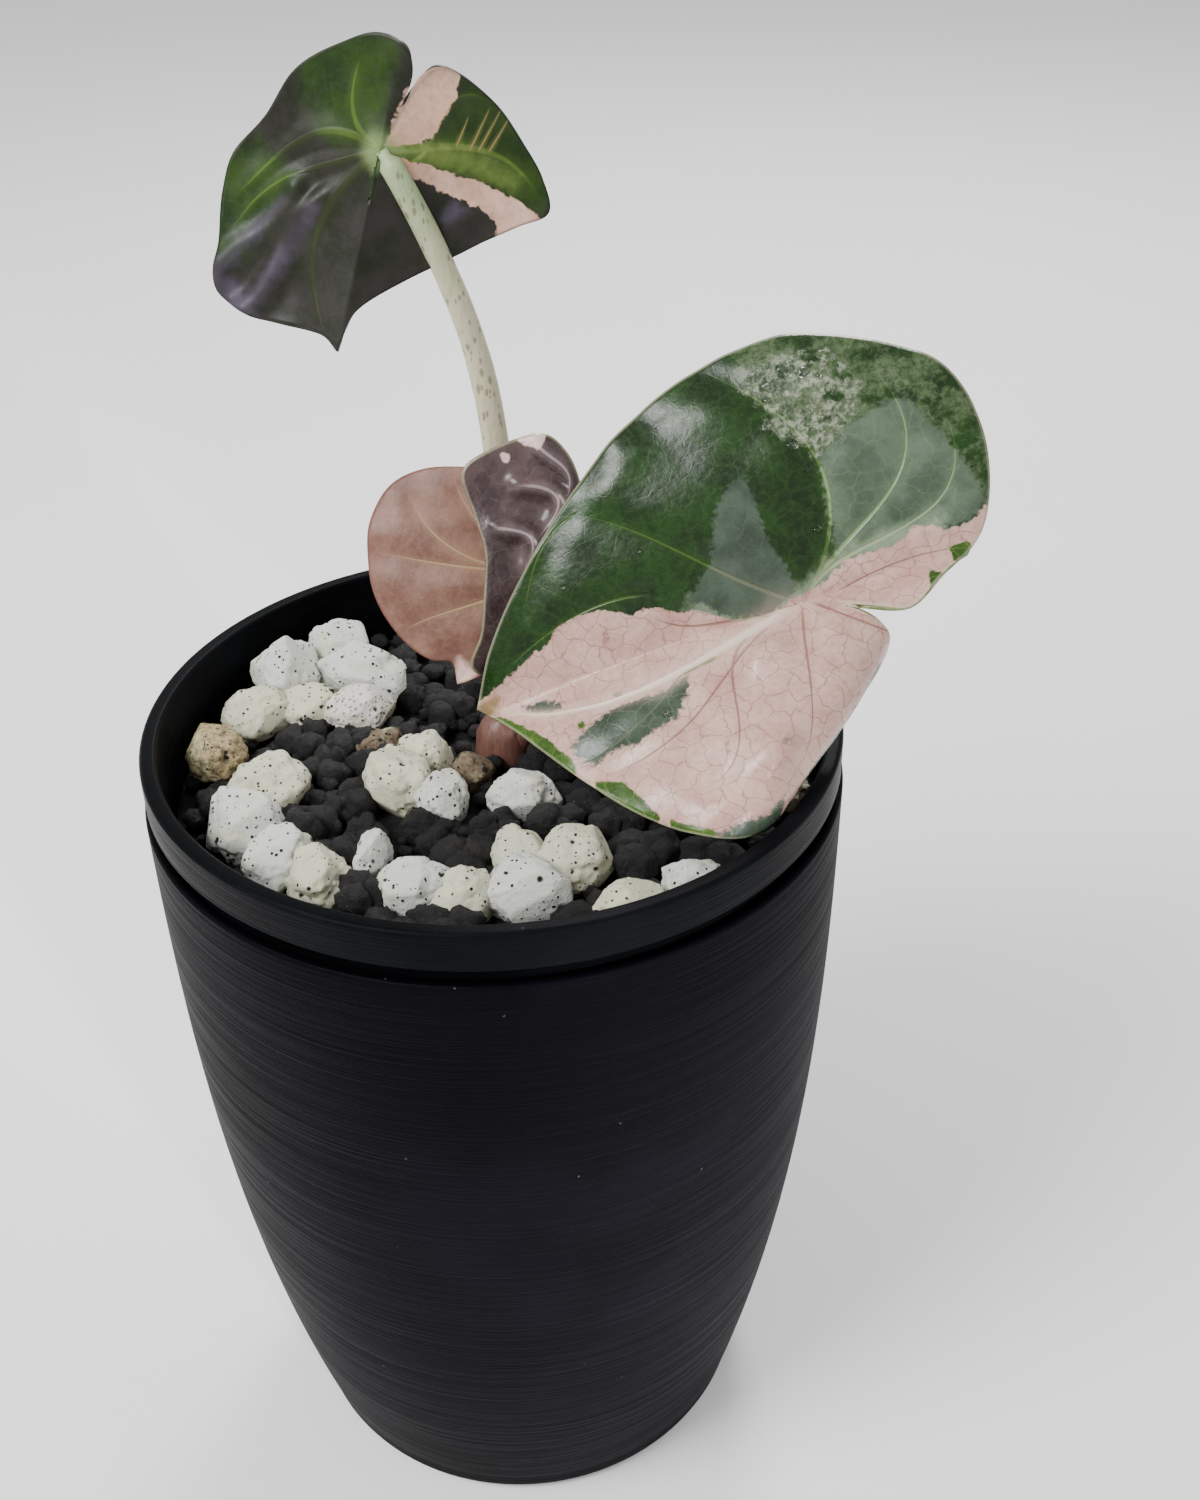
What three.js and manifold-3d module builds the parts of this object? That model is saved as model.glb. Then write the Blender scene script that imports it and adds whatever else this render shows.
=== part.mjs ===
// A small balloon heart alocasia in a black plastic pot that stands inside a black cover pot.
// Millimetres, +Z up. The origin is on the pots' axis, in the plane that the cover pot stands on.
// Front is -Y. Three leaves on stalks rise from a crown in a coarse mix of black grains and pale stones.
import * as THREE from 'three';
import { mergeVertices } from 'three/addons/utils/BufferGeometryUtils.js';
import Module from 'manifold-3d';

const wasm = await Module();
wasm.setup();

// Driving dimensions
const gap = 0.3;

const coverPot = {
  height: 124,
  topRadius: 50.4,
  baseRadius: 37,
  swell: 2.5,
  edgeRound: 3,
  wall: 1.3,
  floor: 3,
};

const innerPot = {
  rimTop: 132,
  rimRadius: 50,
  rimHeight: 6,
  rimThickness: 2.4,
  collarRadius: 48.4,
  collarBottom: 116,
  baseRadius: 33.5,
  wall: 1.6,
  floor: 2,
  drainRadius: 3,
  drainCircle: 20,
  drains: 6,
};

const mix = {
  level: 120.5,
  grainSize: [7.6, 9.6],
  grainSpacing: 8.6,
  grainLevel: 121.2,
  seed: 11,
};

const crown = {
  x: 0.6,
  y: 7.2,
  radius: 4.4,
  bottom: 112,
  top: 127,
};

const bladeThickness = 0.8;
const potSegments = 48;

// Each stone: x, y and height of its centre, then its length, width and height, and its turn in degrees.
// The lists follow the stones that lie on top of the mix, group by group.
const stoneGroups = {
  stones_left: [
    [-37.2, 13.0, 124.0, 10.5, 9.5, 8, 20],
    [-33.5, 21.0, 126.0, 10.5, 10.0, 11, 70],
    [-29.0, 15.5, 123.5, 10.0, 9.0, 8, 10],
    [-21.5, 22.0, 125.0, 15.0, 10.5, 11, 160],
    [-21.0, 13.5, 124.0, 10.0, 8.5, 8, 30],
    [-26.0, 28.5, 126.5, 10.0, 8.5, 8, 0],
  ],
  stones_front_left: [
    [-32.5, -6.5, 123.5, 11.5, 10.5, 9, 15],
    [-34.5, -15.5, 123.5, 12.0, 11.0, 10, 120],
    [-28.5, -22.5, 123.0, 10.0, 9.5, 8, 40],
    [-22.5, -27.5, 123.0, 9.0, 9.5, 8, 0],
  ],
  stones_front: [
    [-10.0, -30.5, 123.5, 10.0, 9.5, 9, 80],
    [-3.2, -32.0, 123.0, 9.5, 8.5, 8, 30],
    [5.5, -31.0, 123.5, 12.0, 9.5, 9, 170],
    [11.5, -24.0, 123.0, 12.0, 10.5, 9, 60],
    [4.0, -23.0, 122.5, 7.5, 10.0, 8, 10],
  ],
  stones_middle: [
    [-13.8, -5.5, 123.5, 11.0, 9.5, 10, 110],
    [-10.8, 1.5, 123.5, 8.0, 7.5, 7, 0],
    [-7.4, -9.0, 123.0, 7.0, 9.0, 8, 15],
  ],
};

// Stones that touch no other pale one are held in the mix itself.
const singleStones = [
  [-41.2, 1.5, 124.5, 8.0, 11.0, 9, 25],
  [4.5, -9.0, 123.0, 9.5, 8.0, 8, 0],
  [-3.8, -1.8, 122.5, 7.0, 5.5, 6, 30],
  [-17.6, 5.0, 122.5, 7.5, 5.5, 6, 10],
  [-16.0, -22.5, 122.5, 4.5, 8.5, 7, 165],
  [18.5, -33.0, 122.5, 9.0, 7.5, 7, 20],
  [27.5, -29.5, 122.5, 9.5, 7.5, 7, 150],
  [41.0, -8.0, 122.5, 7.0, 6.5, 6, 0],
  [22.0, 28.0, 123.5, 9.5, 8.0, 8, 35],
  [33.0, 18.0, 123.0, 8.5, 9.5, 8, 80],
  [6.0, 36.0, 123.5, 10.0, 7.5, 8, 5],
  [30.0, 2.0, 122.5, 8.0, 7.0, 7, 60],
  [-10.0, 38.0, 123.5, 8.0, 7.0, 7, 140],
];

// A blade is drawn flat, from its junction with the stalk: the first number of a point runs towards
// the tip and the second to the side, and each margin goes from the tip to the notch at the stalk.
// Each half then rises from the midrib by an angle and bends on by so many degrees in 10 mm.
const blades = {
  blade_upper: {
    junction: [-12.4, 24, 204.6],
    tip: [-20, 20, 178.7],
    facing: [0, 0.94, 0.34],
    left: { rise: 35, bend: 0, over: 1, curve: -8 },
    right: { rise: 12, bend: 0, over: 1, curve: -6 },
    droop: [200, 60],
    steps: 24,
    margins: {
      left: [[27.1, 0.2], [25.7, 2.4], [25.5, 5], [25.7, 9], [25.6, 14.5], [23.5, 19.8], [17.9, 20.3],
        [11.2, 21.2], [6, 20.7], [0.2, 17], [-5.7, 14.3], [-10.6, 8.7], [-13.6, 3.6], [-13.4, -0.6],
        [-10, -2.1], [-2.6, -0.7]],
      right: [[27.1, 0.2], [24.6, -0.2], [22.6, -0.6], [20.6, -1.7], [15.6, -7.4], [10.4, -14],
        [5.6, -20.4], [2.6, -24.3], [-1.4, -22.4], [-5.3, -18.4], [-9, -13.8], [-11.6, -8],
        [-11.8, -4.9], [-9.6, -3.1], [-2.6, -0.7]],
    },
  },
  blade_large: {
    junction: [43.1, -4, 151],
    tip: [-1.7, -7.5, 137.3],
    facing: [0, -0.62, 0.78],
    left: { rise: 26, bend: 0, over: 1, curve: -8 },
    right: { rise: 36, bend: 0, over: 1, curve: -10 },
    droop: [250, 250],
    steps: 28,
    curl: { heading: 135, start: 6, radius: 5.5, most: 125 },
    margins: {
      left: [[47.8, -1.4], [43, 4.6], [35.3, 15.4], [27.5, 24.6], [19.1, 30.4], [11, 31.6], [3, 30],
        [-5, 25.5], [-11, 19], [-14, 13], [-12.4, 9.4], [-4.4, 2.75]],
      right: [[47.8, -1.4], [42.5, -8.5], [33.7, -17.1], [23.7, -25], [11.8, -32.2], [-0.2, -35.6],
        [-9.6, -35.3], [-18.6, -31.1], [-26.2, -25], [-28.6, -16], [-27.3, -6.5], [-25.2, -2],
        [-19.5, 2.2], [-12.8, 6.5], [-4.4, 2.75]],
    },
  },
  blade_small: {
    junction: [7.7, 12, 147.5],
    tip: [-5.4, 5, 133.7],
    facing: [-0.2, -0.9, 0.4],
    left: { rise: 0, bend: 165, over: 7, curve: 0 },
    right: { rise: 6, bend: 0, over: 1, curve: -5 },
    droop: [200, 200],
    steps: 24,
    margins: {
      left: [[20.5, 0], [18.4, 3], [16.4, 7], [12.1, 8.7], [7.2, 12], [2.4, 15.8], [-0.4, 20],
        [-3.9, 25.1], [-8.1, 24.2], [-14.7, 19.5], [-14.8, 15.5], [-11.5, 9.5], [-7.2, 3.4], [-2, 0.6]],
      right: [[20.5, 0], [18.5, -2.6], [20.1, -5.2], [20.6, -9.5], [18.9, -16.2], [15.1, -21.3],
        [9.4, -25.2], [3.8, -25.8], [-0.4, -23.7], [-4.5, -19], [-8, -13], [-8, -6.5], [-6, -1.4],
        [-2, 0.6]],
    },
  },
};

// A stalk: points along its middle from the crown up, then its radius at the foot and at the blade.
const stalks = {
  upper: {
    path: [[0.8, 8.4, 121.5], [1.1, 13, 135], [1.4, 18, 147], [1.2, 22.4, 158], [0.2, 24.6, 168],
      [-2, 25, 179], [-6.2, 24.4, 191.5], [-10.4, 23.4, 201.4], [-12.2, 23.9, 204.4]],
    foot: 2.3,
    head: 1.6,
  },
  large: {
    path: [[1.6, 6.6, 122], [7, 6.4, 129], [18, 4.4, 136.4], [31, 0.6, 143.8], [39.5, -2.4, 148.6],
      [43, -4, 150.8]],
    foot: 2.2,
    head: 1.7,
  },
  small: {
    path: [[0.8, 6.2, 122], [3.4, 8.6, 131], [6.4, 11.6, 139.5], [8, 12.8, 144.5], [7.8, 12.2, 147.3]],
    foot: 1.9,
    head: 1.2,
  },
};

const radians = THREE.MathUtils.degToRad;

// The same draw each time, so that the grains never move.
function seededDraw(seed) {
  let state = seed;
  return () => {
    state = (state * 16807) % 2147483647;
    return state / 2147483647;
  };
}

// Booleans
function toSolid(geometry) {
  const bare = geometry.clone();
  bare.deleteAttribute('normal');
  bare.deleteAttribute('uv');
  const merged = mergeVertices(bare, 1e-4);
  const indices = [];
  for (let i = 0; i < merged.index.count; i += 3) {
    const [a, b, c] = [merged.index.getX(i), merged.index.getX(i + 1), merged.index.getX(i + 2)];
    if (a !== b && b !== c && c !== a) {
      indices.push(a, b, c);
    }
  }
  const mesh = new wasm.Mesh({
    numProp: 3,
    vertProperties: new Float32Array(merged.attributes.position.array),
    triVerts: new Uint32Array(indices),
  });
  return new wasm.Manifold(mesh);
}

function toGeometry(solid) {
  const mesh = solid.getMesh();
  const geometry = new THREE.BufferGeometry();
  geometry.setAttribute('position', new THREE.BufferAttribute(mesh.vertProperties, 3));
  geometry.setIndex(new THREE.BufferAttribute(mesh.triVerts, 1));
  return geometry;
}

// The largest outer skin of a solid, without loose scraps or sealed hollows.
function mainBody(solid) {
  return solid.decompose().reduce((best, next) => (next.volume() > best.volume() ? next : best));
}

function joined(geometries) {
  return geometries.map(toSolid).reduce((sum, next) => sum.add(next));
}

// Turned shapes
function turned(profile, segments) {
  const points = profile.map(([radius, height]) => new THREE.Vector2(radius, height));
  return new THREE.LatheGeometry(points, segments).rotateX(Math.PI / 2);
}

function coverRadius(z) {
  const { height, topRadius, baseRadius, swell } = coverPot;
  return topRadius - (topRadius - baseRadius) * (1 - z / height) ** swell;
}

function makeCoverPot() {
  const { height, edgeRound, wall, floor } = coverPot;
  const profile = [[0, 0]];
  const footRadius = coverRadius(edgeRound) - edgeRound;
  for (let i = 0; i <= 3; i += 1) {
    const angle = (i / 3) * (Math.PI / 2);
    profile.push([footRadius + edgeRound * Math.sin(angle), edgeRound * (1 - Math.cos(angle))]);
  }
  const outsideLevels = [15, 32, 52, 78, 104];
  const insideLevels = [104, 66, 32];
  outsideLevels.forEach((z) => profile.push([coverRadius(z), z]));
  profile.push([coverRadius(height), height - 0.5], [coverRadius(height) - 0.5, height]);
  profile.push([coverRadius(height) - wall, height]);
  insideLevels.forEach((z) => profile.push([coverRadius(z) - wall, z]));
  profile.push([coverRadius(floor) - edgeRound, floor], [0, floor]);
  return turned(profile, potSegments);
}

function innerWallRadius(z) {
  const { collarRadius, collarBottom, baseRadius, wall } = innerPot;
  const base = coverPot.floor + gap;
  const share = Math.min((z - base) / (collarBottom - base), 1);
  return baseRadius + (collarRadius - baseRadius) * share - wall;
}

function makeInnerPot() {
  const p = innerPot;
  const base = coverPot.floor + gap;
  const inside = p.rimRadius - p.rimThickness;
  const top = base + p.floor;
  const profile = [
    [0, base], [p.baseRadius - 1, base], [p.baseRadius, base + 1],
    [p.collarRadius, p.collarBottom], [p.collarRadius, p.rimTop - p.rimHeight],
    [p.rimRadius, p.rimTop - p.rimHeight], [p.rimRadius, p.rimTop - 0.6],
    [p.rimRadius - 0.6, p.rimTop], [inside, p.rimTop],
    [p.collarRadius - p.wall, p.rimTop - p.rimHeight],
    [p.collarRadius - p.wall, p.collarBottom], [innerWallRadius(top), top], [0, top],
  ];
  let solid = toSolid(turned(profile, potSegments));
  for (let i = 0; i < p.drains; i += 1) {
    const angle = (i / p.drains) * Math.PI * 2;
    const hole = new THREE.CylinderGeometry(p.drainRadius, p.drainRadius, p.floor * 3, 12);
    hole.rotateX(Math.PI / 2);
    hole.translate(p.drainCircle * Math.cos(angle), p.drainCircle * Math.sin(angle), base);
    solid = solid.subtract(toSolid(hole));
  }
  return toGeometry(solid);
}

// A rough stone: a ball with its corners drawn in and out, stretched to its three sizes.
function rough(place, detail, draw, extra = 0) {
  const [x, y, z, length, width, height, turn] = place;
  const ball = new THREE.IcosahedronGeometry(1, detail);
  ball.deleteAttribute('normal');
  ball.deleteAttribute('uv');
  const stone = mergeVertices(ball, 1e-4);
  const position = stone.attributes.position;
  const corner = new THREE.Vector3();
  for (let i = 0; i < position.count; i += 1) {
    corner.fromBufferAttribute(position, i).multiplyScalar(0.9 + 0.2 * draw());
    position.setXYZ(i, corner.x, corner.y, corner.z);
  }
  stone.scale(length / 2 + extra, width / 2 + extra, height / 2 + extra);
  stone.rotateZ(radians(turn));
  return stone.translate(x, y, z);
}

// The stones of a group are drawn from its own seed, so that their beds match them.
function stoneGeometries(list, seed, extra = 0) {
  const draw = seededDraw(seed);
  return list.map((place) => rough(place, 1, draw, extra));
}

function clearOf(x, y, places, margin) {
  return places.every(([px, py, , length, width]) => {
    return Math.hypot(x - px, y - py) > (length + width) / 4 + margin;
  });
}

// Black grains lie in rows over the whole surface, each moved a little, and leave the stones free.
function grainPlaces() {
  const draw = seededDraw(mix.seed);
  const taken = [...Object.values(stoneGroups).flat(), ...singleStones];
  const crownPlace = [crown.x, crown.y, 0, crown.radius * 2, crown.radius * 2];
  const reach = innerPot.collarRadius - innerPot.wall - mix.grainSize[1] / 2 - 1;
  const rowStep = mix.grainSpacing * Math.sin(Math.PI / 3);
  const rows = Math.floor(reach / rowStep);
  const places = [];
  for (let row = -rows; row <= rows; row += 1) {
    for (let column = -7; column <= 7; column += 1) {
      const x = (column + (row % 2 ? 0.5 : 0)) * mix.grainSpacing + (draw() - 0.5) * 2;
      const y = row * rowStep + (draw() - 0.5) * 2;
      const size = mix.grainSize[0] + (mix.grainSize[1] - mix.grainSize[0]) * draw();
      const lift = draw() * 1.6;
      const turn = draw() * 180;
      if (Math.hypot(x, y) < reach && clearOf(x, y, taken, 0.4) && clearOf(x, y, [crownPlace], 2.6)) {
        places.push([x, y, mix.grainLevel + lift, size, size * 0.85, size * 0.85, turn]);
      }
    }
  }
  return places;
}

function makeCrownShape(extra = 0) {
  const { x, y, radius, bottom, top } = crown;
  const profile = [
    [0, bottom - extra], [radius * 0.7 + extra, bottom - extra], [radius + extra, bottom + 3],
    [radius + extra, top - 5], [radius * 0.8 + extra, top - 2], [radius * 0.45 + extra, top + extra],
    [0, top + extra],
  ];
  return turned(profile, 12).translate(x, y, 0);
}

function makeMix() {
  const draw = seededDraw(mix.seed + 1);
  const bottom = coverPot.floor + gap + innerPot.floor + gap;
  const shoulder = innerPot.collarBottom;
  const profile = [
    [0, bottom], [innerWallRadius(bottom) - gap, bottom], [innerWallRadius(shoulder) - gap, shoulder],
    [innerWallRadius(shoulder) - gap, mix.level], [0, mix.level],
  ];
  let solid = toSolid(turned(profile, potSegments));
  grainPlaces().forEach((place) => {
    solid = solid.add(toSolid(rough(place, 0, draw)));
  });
  solid = solid.add(joined(stoneGeometries(singleStones, 90)));
  Object.values(stoneGroups).forEach((list, index) => {
    solid = solid.subtract(joined(stoneGeometries(list, index + 1, gap)));
  });
  solid = solid.subtract(toSolid(makeCrownShape(gap)));
  return toGeometry(mainBody(solid));
}

// Blades
const degreesPer10 = (value) => radians(value) / 10;

// Where a flat distance from the midrib comes to lie when one half is bent: out, up and slope.
function bentSide(distance, side) {
  const first = Math.min(distance, side.over);
  const rest = Math.max(distance - side.over, 0);
  const steady = degreesPer10(side.curve) || 1e-6;
  const early = radians(side.bend) / side.over + steady;
  const start = radians(side.rise);
  const middle = start + early * first;
  const end = middle + steady * rest;
  const out = (Math.sin(middle) - Math.sin(start)) / early + (Math.sin(end) - Math.sin(middle)) / steady;
  const up = (Math.cos(start) - Math.cos(middle)) / early + (Math.cos(middle) - Math.cos(end)) / steady;
  return { out, up, slope: end };
}

// The notch at the stalk parts the two lobes, and only the left one curls.
function notchHeading({ margins }) {
  const [a, b] = margins.left[margins.left.length - 1];
  return Math.atan2(b, a);
}

// A flat point of the blade and its height above the middle of the blade, placed in space.
function placeOnBlade(blade, along, across, height) {
  let [a, b, h] = [along, across, height];
  if (blade.curl && b > 0 && Math.atan2(b, a) < notchHeading(blade)) {
    const { heading, start, radius, most } = blade.curl;
    const [ca, cb] = [Math.cos(radians(heading)), Math.sin(radians(heading))];
    const past = Math.max(a * ca + b * cb - start, 0);
    const turn = Math.min(past / radius, radians(most));
    const over = past - turn * radius;
    const reach = (radius + h) * Math.sin(turn) + over * Math.cos(turn);
    h = (radius + h) * Math.cos(turn) - radius - over * Math.sin(turn);
    a += (reach - past) * ca;
    b += (reach - past) * cb;
  }
  const sign = b >= 0 ? 1 : -1;
  const { out, up, slope } = bentSide(Math.abs(b), b >= 0 ? blade.left : blade.right);
  const y = sign * (out - h * Math.sin(slope));
  const z = up + h * Math.cos(slope);
  const radius = a >= 0 ? blade.droop[0] : blade.droop[1];
  const x = (radius + z) * Math.sin(a / radius);
  const rise = (radius + z) * Math.cos(a / radius) - radius;
  const junction = new THREE.Vector3(...blade.junction);
  const alongAxis = new THREE.Vector3(...blade.tip).sub(junction).normalize();
  const facing = new THREE.Vector3(...blade.facing);
  const upAxis = facing.clone().addScaledVector(alongAxis, -facing.dot(alongAxis)).normalize();
  const acrossAxis = new THREE.Vector3().crossVectors(upAxis, alongAxis);
  return junction
    .addScaledVector(alongAxis, x)
    .addScaledVector(acrossAxis, y)
    .addScaledVector(upAxis, rise);
}

function marginPoints(points, steps) {
  const curve = new THREE.CatmullRomCurve3(points.map(([a, b]) => new THREE.Vector3(a, b, 0)));
  return curve.getSpacedPoints(steps);
}

// Rings of points round the junction, on the upper and the lower face, with the same triangles on both.
function makeBlade(blade, thickness) {
  const { steps } = blade;
  const rings = [0.24, 0.46, 0.66, 0.84, 1];
  const left = marginPoints(blade.margins.left, steps);
  const right = marginPoints(blade.margins.right, steps).reverse();
  const outline = [...left.slice(0, -1), ...right.slice(0, -1)];
  const count = outline.length;
  const vertices = [];
  [thickness / 2, -thickness / 2].forEach((height) => {
    vertices.push(...placeOnBlade(blade, 0, 0, height).toArray());
    rings.forEach((share) => outline.forEach((point) => {
      vertices.push(...placeOnBlade(blade, point.x * share, point.y * share, height).toArray());
    }));
  });
  const face = 1 + count * rings.length;
  const indices = [];
  for (let i = 0; i < count; i += 1) {
    const next = (i + 1) % count;
    indices.push(0, 1 + i, 1 + next, face, face + 1 + next, face + 1 + i);
    for (let ring = 1; ring < rings.length; ring += 1) {
      const [p, q] = [1 + (ring - 1) * count + i, 1 + (ring - 1) * count + next];
      const [r, s] = [p + count, q + count];
      indices.push(p, r, s, p, s, q, face + p, face + s, face + r, face + p, face + q, face + s);
    }
    const [rim, rimNext] = [1 + (rings.length - 1) * count + i, 1 + (rings.length - 1) * count + next];
    indices.push(rim, face + rim, face + rimNext, rim, face + rimNext, rimNext);
  }
  const geometry = new THREE.BufferGeometry();
  geometry.setAttribute('position', new THREE.BufferAttribute(new Float32Array(vertices), 3));
  geometry.setIndex(indices);
  return geometry;
}

// A round stalk along a curve, thicker at its foot.
function makeStalk({ path, foot, head }, extra = 0) {
  const sides = 8;
  const steps = path.length * 2;
  const curve = new THREE.CatmullRomCurve3(path.map((point) => new THREE.Vector3(...point)));
  const frames = curve.computeFrenetFrames(steps, false);
  const vertices = [];
  const indices = [];
  for (let step = 0; step <= steps; step += 1) {
    const share = step / steps;
    const centre = curve.getPointAt(share);
    const radius = foot + (head - foot) * share + extra;
    for (let side = 0; side < sides; side += 1) {
      const angle = (side / sides) * Math.PI * 2;
      const point = centre.clone()
        .addScaledVector(frames.normals[step], radius * Math.cos(angle))
        .addScaledVector(frames.binormals[step], radius * Math.sin(angle));
      vertices.push(...point.toArray());
    }
  }
  const last = steps * sides;
  for (let side = 0; side < sides; side += 1) {
    const next = (side + 1) % sides;
    for (let step = 0; step < steps; step += 1) {
      const [p, q] = [step * sides + side, step * sides + next];
      indices.push(p, q, q + sides, p, q + sides, p + sides);
    }
    if (side > 0 && side < sides - 1) {
      indices.push(0, next, side, last, last + side, last + next);
    }
  }
  const geometry = new THREE.BufferGeometry();
  geometry.setAttribute('position', new THREE.BufferAttribute(new Float32Array(vertices), 3));
  geometry.setIndex(indices);
  return geometry;
}

// A stalk ends just under its blade.
function trimmedStalk(name) {
  const room = toSolid(makeBlade(blades[`blade_${name}`], bladeThickness + gap * 2));
  return mainBody(toSolid(makeStalk(stalks[name])).subtract(room));
}

// The crown with the two stalks that share its colour, and a socket for the pale one.
function makeCrown() {
  const body = toSolid(makeCrownShape()).add(trimmedStalk('large')).add(trimmedStalk('small'));
  return toGeometry(mainBody(body.subtract(toSolid(makeStalk(stalks.upper, gap)))));
}

// Materials
function finish(colour, roughness) {
  return new THREE.MeshStandardMaterial({ color: colour, roughness, metalness: 0 });
}

const blackPlastic = finish(0x17171a, 0.45);
const blackMix = finish(0x23211f, 0.9);
const paleStone = finish(0xd9d8cc, 0.9);
const paleStalk = finish(0xb9b596, 0.5);
const redStalk = finish(0x8e5a55, 0.5);
const darkLeaf = finish(0x2c3a22, 0.4);
const pinkLeaf = finish(0xcdb0ab, 0.4);
const duskyLeaf = finish(0x9c7470, 0.45);

const plant = new THREE.Group();

function addPiece(name, geometry, material) {
  const piece = new THREE.Mesh(geometry, material);
  piece.name = name;
  plant.add(piece);
}

addPiece('cover_pot', makeCoverPot(), blackPlastic);
addPiece('inner_pot', makeInnerPot(), blackPlastic);
addPiece('potting_mix', makeMix(), blackMix);
Object.entries(stoneGroups).forEach(([name, list], index) => {
  addPiece(name, toGeometry(joined(stoneGeometries(list, index + 1))), paleStone);
});
addPiece('crown_and_stalks', makeCrown(), redStalk);
addPiece('upper_stalk', toGeometry(trimmedStalk('upper')), paleStalk);
addPiece('blade_upper', makeBlade(blades.blade_upper, bladeThickness), darkLeaf);
addPiece('blade_large', makeBlade(blades.blade_large, bladeThickness), pinkLeaf);
addPiece('blade_small', makeBlade(blades.blade_small, bladeThickness), duskyLeaf);

export default plant;
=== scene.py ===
import math
import random

import bmesh
import bpy
import numpy as np
from mathutils import Matrix, Vector, noise


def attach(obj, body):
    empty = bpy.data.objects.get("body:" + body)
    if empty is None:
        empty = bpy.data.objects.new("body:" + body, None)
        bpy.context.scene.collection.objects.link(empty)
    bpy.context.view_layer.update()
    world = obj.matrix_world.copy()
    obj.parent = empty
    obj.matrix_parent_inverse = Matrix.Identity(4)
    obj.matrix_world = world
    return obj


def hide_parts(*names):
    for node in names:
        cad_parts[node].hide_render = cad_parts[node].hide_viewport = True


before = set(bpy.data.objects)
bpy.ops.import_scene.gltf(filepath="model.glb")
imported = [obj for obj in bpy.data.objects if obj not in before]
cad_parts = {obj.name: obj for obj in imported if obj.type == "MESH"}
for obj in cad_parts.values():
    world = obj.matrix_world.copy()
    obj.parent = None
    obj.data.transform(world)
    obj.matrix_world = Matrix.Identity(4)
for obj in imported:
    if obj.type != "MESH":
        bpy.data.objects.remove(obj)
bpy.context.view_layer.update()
scene = bpy.context.scene
mm = 0.001

view = {"place": (15.2, -206.4, 263.1), "lookDown": 33.81, "roll": -1.01, "lens": 40.8}
studio = {
    "world": 0.85,
    "floor": 3.0,
    "lamps": [  # kind, name, place, aim, size, watts
        ("AREA", "keySoftbox", (-0.45, -0.35, 0.75), (0, 0, 0.12), 0.4, 9.0),
        ("AREA", "backSoftbox", (0.15, 0.7, 0.75), (0.03, 0, 0.14), 0.3, 6.0),
        ("SPOT", "potLamp", (0.43, -0.7, 0.2), (0.008, -0.02, 0.062), 0.05, 160.0),
    ],
    "cone": 7.0,  # degrees, of the narrow lamp for the sheen on the cover pot
    "coneBlend": 0.9,
}


def screen(red, green, blue):  # a 0-255 screen colour as the linear colour a shader takes
    shares = [value / 255 for value in (red, green, blue)]
    return (*[s / 12.92 if s <= 0.04045 else ((s + 0.055) / 1.055) ** 2.4 for s in shares], 1.0)


def makeCamera():
    lens = bpy.data.cameras.new("camera")
    lens.lens = view["lens"]
    lens.sensor_width = 36
    lens.clip_start = 0.01
    camera = bpy.data.objects.new("camera", lens)
    scene.collection.objects.link(camera)
    tilt = Matrix.Rotation(math.radians(90 - view["lookDown"]), 4, "X")
    roll = Matrix.Rotation(math.radians(view["roll"]), 4, "Z")
    camera.matrix_world = Matrix.Translation(Vector(view["place"]) * mm) @ tilt @ roll
    scene.camera = camera


def makeLights():
    for kind, name, stand, aim, size, watts in studio["lamps"]:
        lamp = bpy.data.lights.new(name, kind)
        lamp.energy = watts
        if kind == "AREA":
            lamp.shape = "DISK"
            lamp.size = size
        else:
            lamp.spot_size = math.radians(studio["cone"])
            lamp.spot_blend = studio["coneBlend"]
            lamp.shadow_soft_size = size
        holder = bpy.data.objects.new(name, lamp)
        holder.location = stand
        holder.rotation_euler = (Vector(aim) - Vector(stand)).to_track_quat("-Z", "Y").to_euler()
        scene.collection.objects.link(holder)
    world = bpy.data.worlds.new("studio")
    world.use_nodes = True
    background = world.node_tree.nodes["Background"]
    background.inputs["Color"].default_value = (1, 1, 1, 1)
    background.inputs["Strength"].default_value = studio["world"]
    scene.world = world


def feed(tree, socket, value):  # a node's output is linked, and any other value is set
    if isinstance(value, bpy.types.NodeSocket):
        tree.links.new(value, socket)
    elif value is not None:
        socket.default_value = value


def node(tree, kind, inputs=None, out=0, **settings):  # gives one output, or all when out is None
    made = tree.nodes.new("ShaderNode" + kind)
    for key, value in settings.items():
        setattr(made, key, value)
    for key, value in (inputs or {}).items():
        feed(tree, made.inputs[key], value)
    return made.outputs if out is None else made.outputs[out]


def calc(tree, operation, a, b=None, c=None):
    return node(tree, "Math", {0: a, 1: b, 2: c}, operation=operation)


def times(tree, a, b):
    return calc(tree, "MULTIPLY", a, b)


def timesPlus(tree, a, b, c):
    return calc(tree, "MULTIPLY_ADD", a, b, c)


def blend(tree, factor, a, b, mode="MIX"):
    return node(tree, "Mix", {0: factor, 6: a, 7: b}, out=2, data_type="RGBA", blend_type=mode)


def spread(tree, value, low, high, toLow=0.0, toHigh=1.0):
    sockets = {0: value, 1: low, 2: high, 3: toLow, 4: toHigh}
    return node(tree, "MapRange", sockets, interpolation_type="SMOOTHSTEP")


def speckle(tree, vector, scale, detail=2.0, roughness=0.5):
    sockets = {"Vector": vector, "Scale": scale, "Detail": detail, "Roughness": roughness}
    return node(tree, "TexNoise", sockets, out="Fac")


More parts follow.
